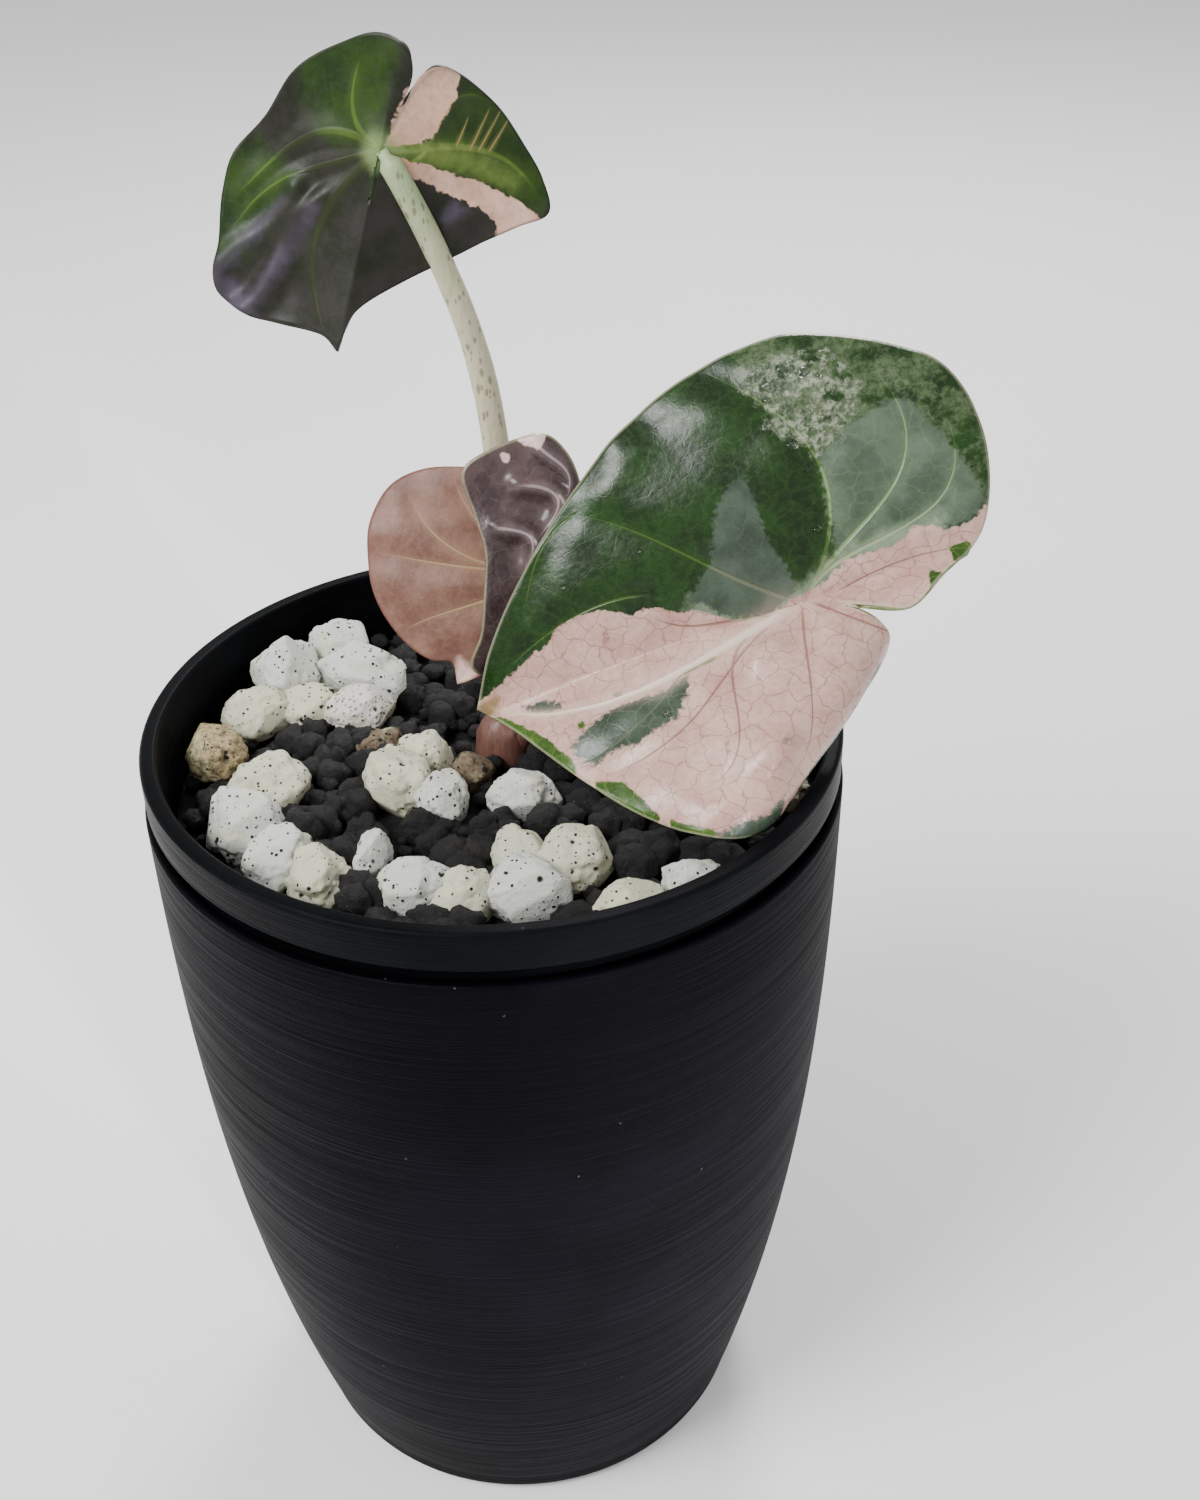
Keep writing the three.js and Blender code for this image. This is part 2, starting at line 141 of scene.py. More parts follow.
def newGroup(name, inputs, outputs):  # a group takes a place, and then the named values
    tree = bpy.data.node_groups.new(name, "ShaderNodeTree")
    tree.interface.new_socket("Vector", in_out="INPUT", socket_type="NodeSocketVector")
    for label, value in inputs.items():
        kind = "NodeSocketVector" if isinstance(value, tuple) else "NodeSocketFloat"
        tree.interface.new_socket(label, in_out="INPUT", socket_type=kind).default_value = value
    for label in outputs:
        tree.interface.new_socket(label, in_out="OUTPUT", socket_type="NodeSocketFloat")
    start = tree.nodes.new("NodeGroupInput")
    end = tree.nodes.new("NodeGroupOutput")
    return tree, start.outputs, end.inputs


def place(tree, group, inputs, out=0):
    return node(tree, "Group", inputs, out, node_tree=group)


def newMaterial(name):
    material = bpy.data.materials.new(name)
    material.use_nodes = True
    tree = material.node_tree
    return material, tree, tree.nodes["Principled BSDF"]


def wire(tree, shader, **values):
    labels = {"baseColor": "Base Color", "roughness": "Roughness", "normal": "Normal", "ior": "IOR",
              "specular": "Specular IOR Level", "transmission": "Transmission Weight",
              "glow": "Subsurface Weight", "glowReach": "Subsurface Radius"}
    for name, value in values.items():
        feed(tree, shader.inputs[labels[name]], value)


def bump(tree, height, strength, distance):
    return node(tree, "Bump", {"Height": height, "Strength": strength, "Distance": distance}, out="Normal")


def inMillimetres(tree):  # the object's own place, in mm
    spot = node(tree, "TexCoord", out="Object")
    return node(tree, "VectorMath", {0: spot, 3: 1 / mm}, operation="SCALE")


def flatOnLeaf(tree):  # a leaf's own flat place, in mm from its stalk
    return node(tree, "Attribute", out="Vector", attribute_name="flat")


def own(tree, name):  # a value that the mesh carries at each corner
    return node(tree, "Attribute", out="Fac", attribute_name=name)


def makeZoneEdge():  # the ragged edge of a marking, from the depth inside its outline
    tree, given, result = newGroup(
        "zoneEdge", {"Depth": 0.0, "Waver": 0.6, "Size": 0.5, "Softness": 0.15}, ["Mask"])
    ragged = speckle(tree, given["Vector"], given["Size"], 4.0, 0.6)
    shift = times(tree, calc(tree, "SUBTRACT", ragged, 0.5), given["Waver"])
    depth = calc(tree, "ADD", given["Depth"], times(tree, shift, 4.0))
    low = times(tree, given["Softness"], -1.0)
    tree.links.new(spread(tree, depth, low, given["Softness"]), result["Mask"])
    return tree


def makeVeinLine():  # a bowed line that thins and fades towards its end, with a soft shoulder beside it
    tree, given, result = newGroup("veinLine", {
        "Start": (0, 0, 0), "Heading": 0.0, "Length": 20.0, "Arc": 0.0, "Skew": 0.0, "Width": 0.5},
        ["Line", "Shoulder"])
    away = node(tree, "VectorMath", {0: given["Vector"], 1: given["Start"]}, operation="SUBTRACT")
    back = times(tree, given["Heading"], -1.0)
    turned = node(tree, "VectorRotate", {"Vector": away, "Angle": back}, rotation_type="Z_AXIS")
    parts = node(tree, "SeparateXYZ", {0: turned}, out=None)
    share = calc(tree, "DIVIDE", parts[0], given["Length"])
    lean = timesPlus(tree, share, 2.0, -1.0)
    bow = timesPlus(tree, given["Skew"], lean, given["Arc"])
    hump = times(tree, share, calc(tree, "SUBTRACT", 1.0, share))
    middle = times(tree, times(tree, hump, bow), given["Length"])
    steepBow = times(tree, times(tree, lean, -1.0), bow)
    steepSkew = times(tree, times(tree, hump, 2.0), given["Skew"])
    steep = calc(tree, "ADD", steepBow, steepSkew)
    slant = calc(tree, "SQRT", timesPlus(tree, steep, steep, 1.0))
    gap = calc(tree, "DIVIDE", calc(tree, "ABSOLUTE", calc(tree, "SUBTRACT", parts[1], middle)), slant)
    width = times(tree, given["Width"], spread(tree, share, 0.0, 1.0, 1.0, 0.3))
    fadeIn, fadeOut = spread(tree, share, -0.03, 0.12), spread(tree, share, 0.8, 1.02, 1.0, 0.0)
    inside = times(tree, fadeIn, fadeOut)
    line = spread(tree, gap, times(tree, width, 0.35), width, 1.0, 0.0)
    shoulder = spread(tree, gap, 0.0, times(tree, width, 5.0), 1.0, 0.0)
    tree.links.new(times(tree, line, inside), result["Line"])
    tree.links.new(times(tree, shoulder, inside), result["Shoulder"])
    return tree


def cellEdge(tree, vector, scale, randomness):
    return node(tree, "TexVoronoi", {"Vector": vector, "Scale": scale, "Randomness": randomness},
                out="Distance", feature="DISTANCE_TO_EDGE", voronoi_dimensions="2D")


def makeVeinNet():  # the fine mesh between the veins, with a fainter and finer one inside it
    tree, given, result = newGroup("veinNet", {"Scale": 0.35, "Width": 0.05, "Stray": 1.2}, ["Net"])
    drift = node(tree, "TexNoise", {"Vector": given["Vector"], "Scale": 0.45, "Detail": 3.0}, out="Color")
    centred = node(tree, "VectorMath", {0: drift, 1: (0.5, 0.5, 0.5)}, operation="SUBTRACT")
    strayed = node(tree, "VectorMath", {0: centred, 3: given["Stray"]}, operation="SCALE")
    moved = node(tree, "VectorMath", {0: given["Vector"], 1: strayed}, operation="ADD")
    cells = cellEdge(tree, moved, given["Scale"], 0.9)
    small = cellEdge(tree, moved, times(tree, given["Scale"], 2.3), 1.0)
    coarse = spread(tree, cells, 0.0, given["Width"], 1.0, 0.0)
    fine = times(tree, spread(tree, small, 0.0, given["Width"], 1.0, 0.0), 0.45)
    tree.links.new(calc(tree, "MAXIMUM", coarse, fine), result["Net"])
    return tree


def makeCrumbs():  # scattered specks with a random size each
    tree, given, result = newGroup("crumbs", {"Scale": 1.0, "Size": 0.3}, ["Mask"])
    cell = node(tree, "TexVoronoi", {"Vector": given["Vector"], "Scale": given["Scale"]}, out=None)
    draw = node(tree, "SeparateColor", {0: cell["Color"]})
    reach = times(tree, calc(tree, "POWER", draw, 3.0), given["Size"])
    wobble = timesPlus(tree, speckle(tree, given["Vector"], 3.0), 0.12, cell["Distance"])
    far = calc(tree, "ADD", reach, 0.001)
    tree.links.new(spread(tree, wobble, times(tree, reach, 0.6), far, 1.0, 0.0), result["Mask"])
    return tree


def makeLayerLines():  # the fine level lines round the plastic pots
    tree, given, result = newGroup("layerLines", {"Pitch": 0.45}, ["Height", "Streak"])
    squeeze = node(tree, "VectorMath", {0: given["Vector"], 1: (0.02, 0.02, 1.6)}, operation="MULTIPLY")
    streak = speckle(tree, squeeze, 1.0, 4.0, 0.65)
    parts = node(tree, "SeparateXYZ", {0: given["Vector"]}, out=None)
    turns = calc(tree, "DIVIDE", parts[2], given["Pitch"])
    ridge = calc(tree, "SINE", times(tree, turns, math.tau))
    grit = speckle(tree, given["Vector"], 4.0, 2.0)
    height = calc(tree, "ADD", times(tree, ridge, 0.06), times(tree, streak, 1.3))
    tree.links.new(timesPlus(tree, grit, 0.35, height), result["Height"])
    tree.links.new(streak, result["Streak"])
    return tree


zoneEdge = makeZoneEdge()
veinLine = makeVeinLine()
veinNet = makeVeinNet()
crumbs = makeCrumbs()
layerLines = makeLayerLines()


def finishPiece(bm, name, materials, replaced, smooth=True):
    bmesh.ops.scale(bm, vec=(mm, mm, mm), verts=bm.verts)
    mesh = bpy.data.meshes.new(name)
    for face in bm.faces:
        face.smooth = smooth
    bm.to_mesh(mesh)
    bm.free()
    for material in materials:
        mesh.materials.append(material)
    piece = bpy.data.objects.new(name, mesh)
    scene.collection.objects.link(piece)
    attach(piece, "root")
    if replaced:
        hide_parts(replaced)
    return piece


def smoothPath(points, count, spanSteps=30):  # evenly spaced places on a curve through the points
    knots = [Vector(point) for point in points]
    fine = []
    for i in range(len(knots) - 1):
        b, c = knots[i], knots[i + 1]
        a = knots[i - 1] if i else b * 2 - c
        d = knots[i + 2] if i + 2 < len(knots) else c * 2 - b
        before, between, after = [max(length, 1e-4) ** 0.5 for length in
                                  ((b - a).length, (c - b).length, (d - c).length)]
        leave = ((b - a) / before - (c - a) / (before + between) + (c - b) / between) * between
        arrive = ((c - b) / between - (d - b) / (between + after) + (d - c) / after) * between
        for step in range(spanSteps):
            t = step / spanSteps
            fine.append(b + leave * t + (c * 3 - b * 3 - leave * 2 - arrive) * t ** 2
                        + (b * 2 - c * 2 + leave + arrive) * t ** 3)
    fine.append(knots[-1])
    walked = [0.0]
    for i in range(1, len(fine)):
        walked.append(walked[-1] + (fine[i] - fine[i - 1]).length)
    wanted = np.linspace(0, walked[-1], count + 1)
    return [Vector([np.interp(s, walked, [p[k] for p in fine]) for k in range(3)]) for s in wanted]


def spun(profile, turns):  # a closed turned shape from (radius, height) points
    bm = bmesh.new()
    line = [bm.verts.new((radius, 0, height)) for radius, height in profile]
    edges = [bm.edges.new((line[i], line[i + 1])) for i in range(len(line) - 1)]
    bmesh.ops.spin(bm, geom=line + edges, axis=(0, 0, 1), cent=(0, 0, 0), steps=turns,
                   angle=math.tau, use_merge=True)
    bmesh.ops.remove_doubles(bm, verts=bm.verts, dist=1e-4)
    bmesh.ops.recalc_face_normals(bm, faces=bm.faces)
    return bm


def corner(x, z, radius, first, last, steps=6):  # points round a corner, in degrees
    turns = [math.radians(first + (last - first) * i / steps) for i in range(steps + 1)]
    return [(x + radius * math.cos(turn), z + radius * math.sin(turn)) for turn in turns]


coverPot = {"height": 124, "topRadius": 50.4, "baseRadius": 37, "swell": 2.5, "edge": 3, "wall": 1.3,
            "floor": 3, "lip": 0.5, "innerLip": 0.4, "outerLevels": (6, 121, 47),
            "innerLevels": (121, 8, 40)}
innerPot = {"rimTop": 132, "rimRadius": 50, "rimHeight": 6, "rimWall": 2.4, "collarRadius": 48.4,
            "collarBottom": 116, "baseRadius": 33.5, "wall": 1.6, "floor": 2, "base": 3.3, "bevel": 1,
            "underRound": 0.5, "rimRound": 0.7, "mouthRound": 0.6}
potTurns = 160


def plasticFinish(name, dark, light, roughness, pitch):
    material, tree, shader = newMaterial(name)
    where = inMillimetres(tree)
    lines = place(tree, layerLines, {"Vector": where, "Pitch": pitch}, out=None)
    cloud = speckle(tree, where, 0.05, 3.0)
    colour = blend(tree, spread(tree, cloud, 0.35, 0.7), dark, light)
    dust = place(tree, crumbs, {"Vector": where, "Scale": 0.35, "Size": 0.16})
    colour = blend(tree, times(tree, dust, 0.3), colour, screen(120, 118, 112))
    rough = spread(tree, lines["Streak"], 0.3, 0.7, roughness - 0.08, roughness + 0.1)
    wire(tree, shader, baseColor=colour, roughness=rough, specular=0.03,
         normal=bump(tree, lines["Height"], 0.7, 0.0002))
    return material


def coverRadius(z):
    c = coverPot
    return c["topRadius"] - (c["topRadius"] - c["baseRadius"]) * (1 - z / c["height"]) ** c["swell"]


def innerWall(z):  # the radius inside the inner pot, which is even above the collar's lower end
    p = innerPot
    share = min((z - p["base"]) / (p["collarBottom"] - p["base"]), 1)
    return p["baseRadius"] - p["wall"] + (p["collarRadius"] - p["baseRadius"]) * share


def makeCoverPot():
    c = coverPot
    edge, top, wall, lip, innerLip = c["edge"], c["height"], c["wall"], c["lip"], c["innerLip"]
    profile = [(0, 0)] + corner(coverRadius(edge) - edge, edge, edge, -90, 0)
    profile += [(coverRadius(z), z) for z in np.linspace(*c["outerLevels"])]
    profile += corner(coverRadius(top) - lip, top - lip, lip, 0, 90, 4)
    profile += corner(coverRadius(top) - wall + innerLip, top - innerLip, innerLip, 90, 180, 4)
    profile += [(coverRadius(z) - wall, z) for z in np.linspace(*c["innerLevels"])]
    profile += [(coverRadius(c["floor"]) - edge, c["floor"]), (0, c["floor"])]
    finish = plasticFinish("coverPlastic", screen(3, 3, 6), screen(6, 5, 11), 0.5, 0.42)
    return finishPiece(spun(profile, potTurns), "cover_pot_body", [finish], "cover_pot")


def makeInnerPot():
    p = innerPot
    low, high = p["base"] + p["bevel"], p["collarBottom"]
    inside = p["rimRadius"] - p["rimWall"]
    under = p["rimTop"] - p["rimHeight"]
    wall = p["collarRadius"] - p["wall"]
    floor = p["base"] + p["floor"]
    profile = [(0, p["base"]), (p["baseRadius"] - p["bevel"], p["base"]), (p["baseRadius"], low)]
    profile += [(p["baseRadius"] + (p["collarRadius"] - p["baseRadius"]) * share, low + (high - low) * share)
                for share in np.linspace(0.1, 1, 12)]
    profile += [(p["collarRadius"], z) for z in np.linspace(high + 2, under - 0.5, 4)]
    profile += [(p["collarRadius"] + 0.3, under - 0.05)]
    turn = p["underRound"]
    profile += corner(p["rimRadius"] - turn, under + turn, turn, -90, 0, 4)
    profile += [(p["rimRadius"], z) for z in (under + 2, under + 4)]
    turn = p["rimRound"]
    profile += corner(p["rimRadius"] - turn, p["rimTop"] - turn, turn, 0, 90)
    turn = p["mouthRound"]
    profile += corner(inside + turn, p["rimTop"] - turn, turn, 90, 180)
    profile += [(inside - 0.1, p["rimTop"] - 3), (wall + 0.1, under + 0.6)]
    profile += [(wall, z) for z in (under - 1, high + 5, high)]
    profile += [(p["baseRadius"] - p["wall"], floor), (0, floor)]
    finish = plasticFinish("innerPlastic", screen(7, 8, 10), screen(14, 15, 18), 0.36, 0.6)
    return finishPiece(spun(profile, potTurns), "inner_pot_body", [finish], "inner_pot")


def makePots():
    cover, inner = makeCoverPot(), makeInnerPot()
    print("pots", len(cover.data.polygons), len(inner.data.polygons))


# A grain breaks into parts: their share of its size, how far they lie apart and how they rise and sink.
mix = {"bottom": 5.6, "level": 120.4, "gap": 0.3, "ripple": 0.9, "seed": 11, "reach": 41.0, "spacing": 8.6,
       "grainSize": (7.6, 9.6), "grainLevel": 121.2, "stoneMargin": 0.4, "crownMargin": 2.6,
       "parts": 3, "partShare": (0.6, 0.74), "apart": 0.23, "rise": (-0.9, 0.5),
       "crumbs": 620, "crumbReach": 44.5, "crumbSize": (1.6, 4.2), "crumbMargin": -0.6}

# A stone's centre, its length, width and height, its turn in degrees, and its tone, which is
# 0 white, 1 cream, 2 tan, 3 brown or 4 pumice.
stones = {
    "stones_left": [
        (-37.2, 13, 124, 10.5, 9.5, 8, 20, 1), (-33.5, 21, 126, 10.5, 10, 11, 70, 0),
        (-29, 15.5, 123.5, 10, 9, 8, 10, 1), (-21.5, 22, 125, 15, 10.5, 11, 160, 0),
        (-21, 13.5, 124, 10, 8.5, 8, 30, 4), (-26, 28.5, 126.5, 10, 8.5, 8, 0, 0)],
    "stones_front_left": [
        (-32.5, -6.5, 123.5, 11.5, 10.5, 9, 15, 1), (-34.5, -15.5, 123.5, 12, 11, 10, 120, 0),
        (-28.5, -22.5, 123, 10, 9.5, 8, 40, 0), (-22.5, -27.5, 123, 9, 9.5, 8, 0, 1)],
    "stones_front": [
        (-10, -30.5, 123.5, 10, 9.5, 9, 80, 0), (-3.2, -32, 123, 9.5, 8.5, 8, 30, 1),
        (5.5, -31, 123.5, 12, 9.5, 9, 170, 0), (11.5, -24, 123, 12, 10.5, 9, 60, 1),
        (4, -23, 122.5, 7.5, 10, 8, 10, 1)],
    "stones_middle": [
        (-13.8, -5.5, 123.5, 11, 9.5, 10, 110, 1), (-10.8, 1.5, 123.5, 8, 7.5, 7, 0, 1),
        (-7.4, -9, 123, 7, 9, 8, 15, 0)],
    "potting_mix": [
        (-41.2, 1.5, 124.5, 8, 11, 9, 25, 2), (4.5, -9, 123, 9.5, 8, 8, 0, 0),
        (-3.8, -1.8, 122.5, 7, 5.5, 6, 30, 3), (-17.6, 5, 122.5, 7.5, 5.5, 6, 10, 3),
        (-16, -22.5, 122.5, 4.5, 8.5, 7, 165, 0), (18.5, -33, 122.5, 9, 7.5, 7, 20, 1),
        (27.5, -29.5, 122.5, 9.5, 7.5, 7, 150, 0), (41, -8, 122.5, 7, 6.5, 6, 0, 1),
        (22, 28, 123.5, 9.5, 8, 8, 35, 0), (33, 18, 123, 8.5, 9.5, 8, 80, 1),
        (6, 36, 123.5, 10, 7.5, 8, 5, 0), (30, 2, 122.5, 8, 7, 7, 60, 2),
        (-10, 38, 123.5, 8, 7, 7, 140, 0)],
}

# A quarter of a stone's tone, and its colour.
stoneTones = [(0.0, (200, 201, 195)), (0.25, (196, 195, 172)), (0.5, (168, 150, 112)),
              (0.75, (112, 96, 76)), (1.0, (208, 203, 196))]


def stoneFinish():
    material, tree, shader = newMaterial("perliteStone")
    where = inMillimetres(tree)
    tone = own(tree, "tone")
    ramp = tree.nodes.new("ShaderNodeValToRGB")
    tree.links.new(calc(tree, "DIVIDE", tone, 4.0), ramp.inputs["Fac"])
    while len(ramp.color_ramp.elements) < len(stoneTones):
        ramp.color_ramp.elements.new(0.5)
    for element, (at, colour) in zip(ramp.color_ramp.elements, stoneTones):
        element.position = at
        element.color = screen(*colour)
    greenish = spread(tree, speckle(tree, where, 0.22, 3.0, 0.6), 0.5, 0.72, 0.0, 0.6)
    colour = blend(tree, greenish, ramp.outputs["Color"], screen(206, 210, 168))
    stain = spread(tree, speckle(tree, where, 0.35, 5.0, 0.7), 0.55, 0.8, 0.0, 0.6)
    colour = blend(tree, stain, colour, screen(150, 138, 116))
    tan = spread(tree, calc(tree, "ABSOLUTE", calc(tree, "SUBTRACT", tone, 2.5)), 0.9, 0.4)
    mottled = spread(tree, speckle(tree, where, 0.9, 6.0, 0.8), 0.44, 0.6)
    colour = blend(tree, times(tree, times(tree, mottled, tan), 0.8), colour, screen(52, 44, 34))
    specks = calc(tree, "MAXIMUM", place(tree, crumbs, {"Vector": where, "Scale": 0.7, "Size": 0.5}),
                  place(tree, crumbs, {"Vector": where, "Scale": 1.7, "Size": 0.6}))
    colour = blend(tree, specks, colour, screen(24, 21, 19))
    # The pumice pits are darkened in colour: painted shade inside the holes, which are only a bump.
    pits = node(tree, "TexVoronoi", {"Vector": where, "Scale": 1.1}, out="Distance")
    pumice = spread(tree, tone, 3.4, 3.8)
    holes = times(tree, spread(tree, pits, 0.12, 0.4, 1.0, 0.0), pumice)
    colour = blend(tree, times(tree, holes, 0.6), colour, screen(86, 78, 70))
    grain = speckle(tree, where, 1.4, 6.0, 0.65)
    height = calc(tree, "ADD", grain, times(tree, specks, 0.35))
    height = calc(tree, "SUBTRACT", height, times(tree, holes, 1.6))
    wire(tree, shader, baseColor=colour, normal=bump(tree, height, 0.55, 0.0006), specular=0.3,
         roughness=spread(tree, grain, 0.3, 0.7, 0.62, 0.9))
    return material


def mixFinish():
    material, tree, shader = newMaterial("blackGranules")
    where = inMillimetres(tree)
    lumps = speckle(tree, where, 0.9, 6.0, 0.7)
    colour = blend(tree, spread(tree, lumps, 0.4, 0.75), screen(5, 5, 5), screen(22, 21, 24))
    brown = spread(tree, speckle(tree, where, 0.18, 3.0), 0.55, 0.75)
    colour = blend(tree, times(tree, brown, 0.3), colour, screen(44, 34, 26))
    pale = place(tree, crumbs, {"Vector": where, "Scale": 1.4, "Size": 0.22})
    colour = blend(tree, times(tree, pale, 0.5), colour, screen(150, 145, 132))
    wire(tree, shader, baseColor=colour, normal=bump(tree, lumps, 0.8, 0.0011),
         roughness=spread(tree, lumps, 0.3, 0.7, 0.45, 0.85), specular=0.4)
    return material


# How many cut faces a lump has, how deep they go, and the heights and pitches of its swellings.
lumpForms = {"stone": {"cuts": 8, "swellings": [(0.26, 1.3), (0.1, 2.8), (0.07, 6), (0.025, 14)]},
             "grain": {"cuts": 3, "swellings": [(0.3, 1.7), (0.22, 4)]}}
cutDepth = 0.88


def addLump(bm, where, size, turn, detail, draw, kind, layer=None, tone=0.0):
    grown = bmesh.ops.create_icosphere(bm, subdivisions=detail, radius=1)["verts"]
    shift = Vector([draw.uniform(-50, 50) for _ in range(3)])
    cuts = []
    for _ in range(lumpForms[kind]["cuts"]):
        face = Vector([draw.gauss(0, 1) for _ in range(3)]).normalized()
        cuts.append((face, draw.uniform(0.8, 0.95)))
    half, spin = Vector(size) / 2, Matrix.Rotation(math.radians(turn), 3, "Z")
    for vert in grown:
        way = vert.co.normalized()
        swell = 1
        for height, pitch in lumpForms[kind]["swellings"]:
            swell += height * noise.noise(way * pitch + shift)
        for face, limit in cuts:
            lean = way.dot(face)
            if lean > 0.3:
                swell -= max(swell - limit / lean, 0) * cutDepth
        vert.co = Vector(where) + spin @ (way * swell * half)
        if layer:
            vert[layer] = tone


def addGrain(bm, where, size, turn, detail, draw):  # shaped apart, which is much quicker in a large mesh
    single = bmesh.new()
    addLump(single, where, size, turn, detail, draw, "grain")
    shape = bpy.data.meshes.new("grain")
    single.to_mesh(shape)
    single.free()
    bm.from_mesh(shape)
    bpy.data.meshes.remove(shape)


def makeStones():
    finish = stoneFinish()
    for index, (group, members) in enumerate(stones.items()):
        draw = random.Random(40 + index)
        bm = bmesh.new()
        layer = bm.verts.layers.float.new("tone")
        for x, y, z, length, width, height, turn, tone in members:
            size = (length * 1.04, width * 1.04, height * 1.04)
            addLump(bm, (x, y, z), size, turn, 5, draw, "stone", layer, tone)
        name = "stones_in_mix" if group == "potting_mix" else group + "_fine"
        finishPiece(bm, name, [finish], group)
    print("stones done")


def clearOfStones(x, y, margin):
    return all(math.hypot(x - s[0], y - s[1]) > (s[3] + s[4]) / 4 + margin
               for members in stones.values() for s in members)


def grainPlaces():  # rows of grains, each moved a little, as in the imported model
    state = [mix["seed"]]

    def draw():
        state[0] = (state[0] * 16807) % 2147483647
        return state[0] / 2147483647

    small, large = mix["grainSize"]
    rowStep = mix["spacing"] * math.sin(math.pi / 3)
    rows = int(mix["reach"] // rowStep)
    crownReach = crown["radius"] + mix["crownMargin"]
    places = []
    for row in range(-rows, rows + 1):
        for column in range(-7, 8):
            x = (column + (0.5 if row % 2 else 0)) * mix["spacing"] + (draw() - 0.5) * 2
            y = row * rowStep + (draw() - 0.5) * 2
            size = small + (large - small) * draw()
            lift, turn = draw() * 1.6, draw() * 180
            free = clearOfStones(x, y, mix["stoneMargin"])
            free = free and math.hypot(x - crown["x"], y - crown["y"]) > crownReach
            if free and math.hypot(x, y) < mix["reach"]:
                places.append((x, y, mix["grainLevel"] + lift, size, turn))
    return places


def makeMix():
    profile = [(0, mix["bottom"])]
    profile += [(innerWall(z) - mix["gap"], z) for z in (mix["bottom"], 40, 80, 116)]
    profile += [(innerWall(118) - mix["gap"], 119.6)]
    profile += [(radius, mix["level"]) for radius in np.linspace(45.5, 1, 36)] + [(0, mix["level"])]
    bm = spun(profile, 120)
    for vert in bm.verts:
        if vert.co.z > 119.9:
            vert.co.z += mix["ripple"] * noise.fractal(vert.co / 3.1, 1.0, 2.0, 3) - 0.3
    draw = random.Random(5)
    for x, y, z, size, turn in grainPlaces():
        for part in range(mix["parts"]):
            angle = math.radians(turn + 360 / mix["parts"] * part)
            share = size * draw.uniform(*mix["partShare"])
            out = mix["apart"] * size
            spot = (x + out * math.cos(angle), y + out * math.sin(angle), z + draw.uniform(*mix["rise"]))
            addGrain(bm, spot, (share, share * 0.9, share * 0.95), turn, 3, draw)
    for _ in range(mix["crumbs"]):
        radius, angle = mix["crumbReach"] * math.sqrt(draw.random()), draw.uniform(0, math.tau)
        x, y = radius * math.cos(angle), radius * math.sin(angle)
        size = draw.uniform(*mix["crumbSize"])
        if clearOfStones(x, y, mix["crumbMargin"]):
            spot = (x, y, mix["level"] + 0.3 + size * draw.uniform(0.1, 0.35))
            addGrain(bm, spot, (size, size * 0.85, size * 0.8), draw.uniform(0, 180), 2, draw)
    bed = finishPiece(bm, "black_mix", [mixFinish()], "potting_mix")
    print("mix", len(bed.data.polygons))


# Points along the middle of each stalk, and its radius at the foot and at the head.
stalks = {
    "upper": {"foot": 2.3, "head": 1.6, "steps": 90, "path": [
        (0.8, 8.4, 119.5), (1.1, 13, 135), (1.4, 18, 147), (1.2, 22.4, 158), (0.2, 24.6, 168),
        (-2, 25, 179), (-6.2, 24.4, 191.5), (-10.4, 23.4, 201.4), (-12.2, 23.9, 204.5)]},
    "large": {"foot": 2.2, "head": 1.7, "steps": 60, "path": [
        (1.6, 6.6, 120), (7, 6.4, 129), (18, 4.4, 136.4), (31, 0.6, 143.8), (39.5, -2.4, 148.6),
        (42.9, -4, 150.1)]},
    "small": {"foot": 1.9, "head": 1.2, "steps": 40, "path": [
        (0.8, 6.2, 120), (3.4, 8.6, 131), (6.4, 11.6, 139.5), (8, 12.8, 144.5), (7.8, 12.1, 147.4)]},
}
# The colours of a stalk's top, middle and foot, of its streaks, and how much its marks show.
stalkLooks = {
    "paleStalk": ((150, 172, 128), (190, 184, 154), (176, 152, 132), (158, 148, 118), 0.55),
    "redStalk": ((176, 140, 126), (150, 110, 98), (98, 66, 56), (130, 86, 76), 0.5),
}
crown = {"x": 0.6, "y": 7.2, "radius": 4.4, "bottom": 112}


def addStalk(bm, stalk, sides=20):
    points = smoothPath(stalk["path"], stalk["steps"])
    ring = bmesh.ops.create_circle(bm, segments=sides, radius=1.0)["verts"]
    edges = [edge for edge in bm.edges if edge.verts[0] in ring and edge.verts[1] in ring]
    bmesh.ops.contextual_create(bm, geom=edges)
    current = Matrix.Identity(4)
    turn = Vector((0, 0, 1)).rotation_difference(points[1] - points[0]).to_matrix().to_4x4()
    for index, point in enumerate(points):
        share = index / (len(points) - 1)
        radius = stalk["foot"] + (stalk["head"] - stalk["foot"]) * share
        radius *= 1 + 0.05 * noise.noise(Vector((share * 9, stalk["foot"] * 7, 0)))
        left = (1 - share) * stalk["steps"]
        if left < 2:
            radius *= (0.5, 0.85)[min(int(left), 1)]
        way = (points[min(index + 1, len(points) - 1)] - points[max(index - 1, 0)]).normalized()
        bent = (turn.to_3x3() @ Vector((0, 0, 1))).rotation_difference(way).to_matrix().to_4x4()
        turn = bent @ turn
        target = Matrix.Translation(point) @ turn @ Matrix.Diagonal((radius, radius, 1, 1))
        if index:
            made = bmesh.ops.extrude_edge_only(bm, edges=edges)["geom"]
            ring = [part for part in made if isinstance(part, bmesh.types.BMVert)]
            edges = [part for part in made if isinstance(part, bmesh.types.BMEdge) and part.is_boundary]
        bmesh.ops.transform(bm, matrix=target @ current.inverted(), verts=ring)
        current = target
    bmesh.ops.contextual_create(bm, geom=edges)


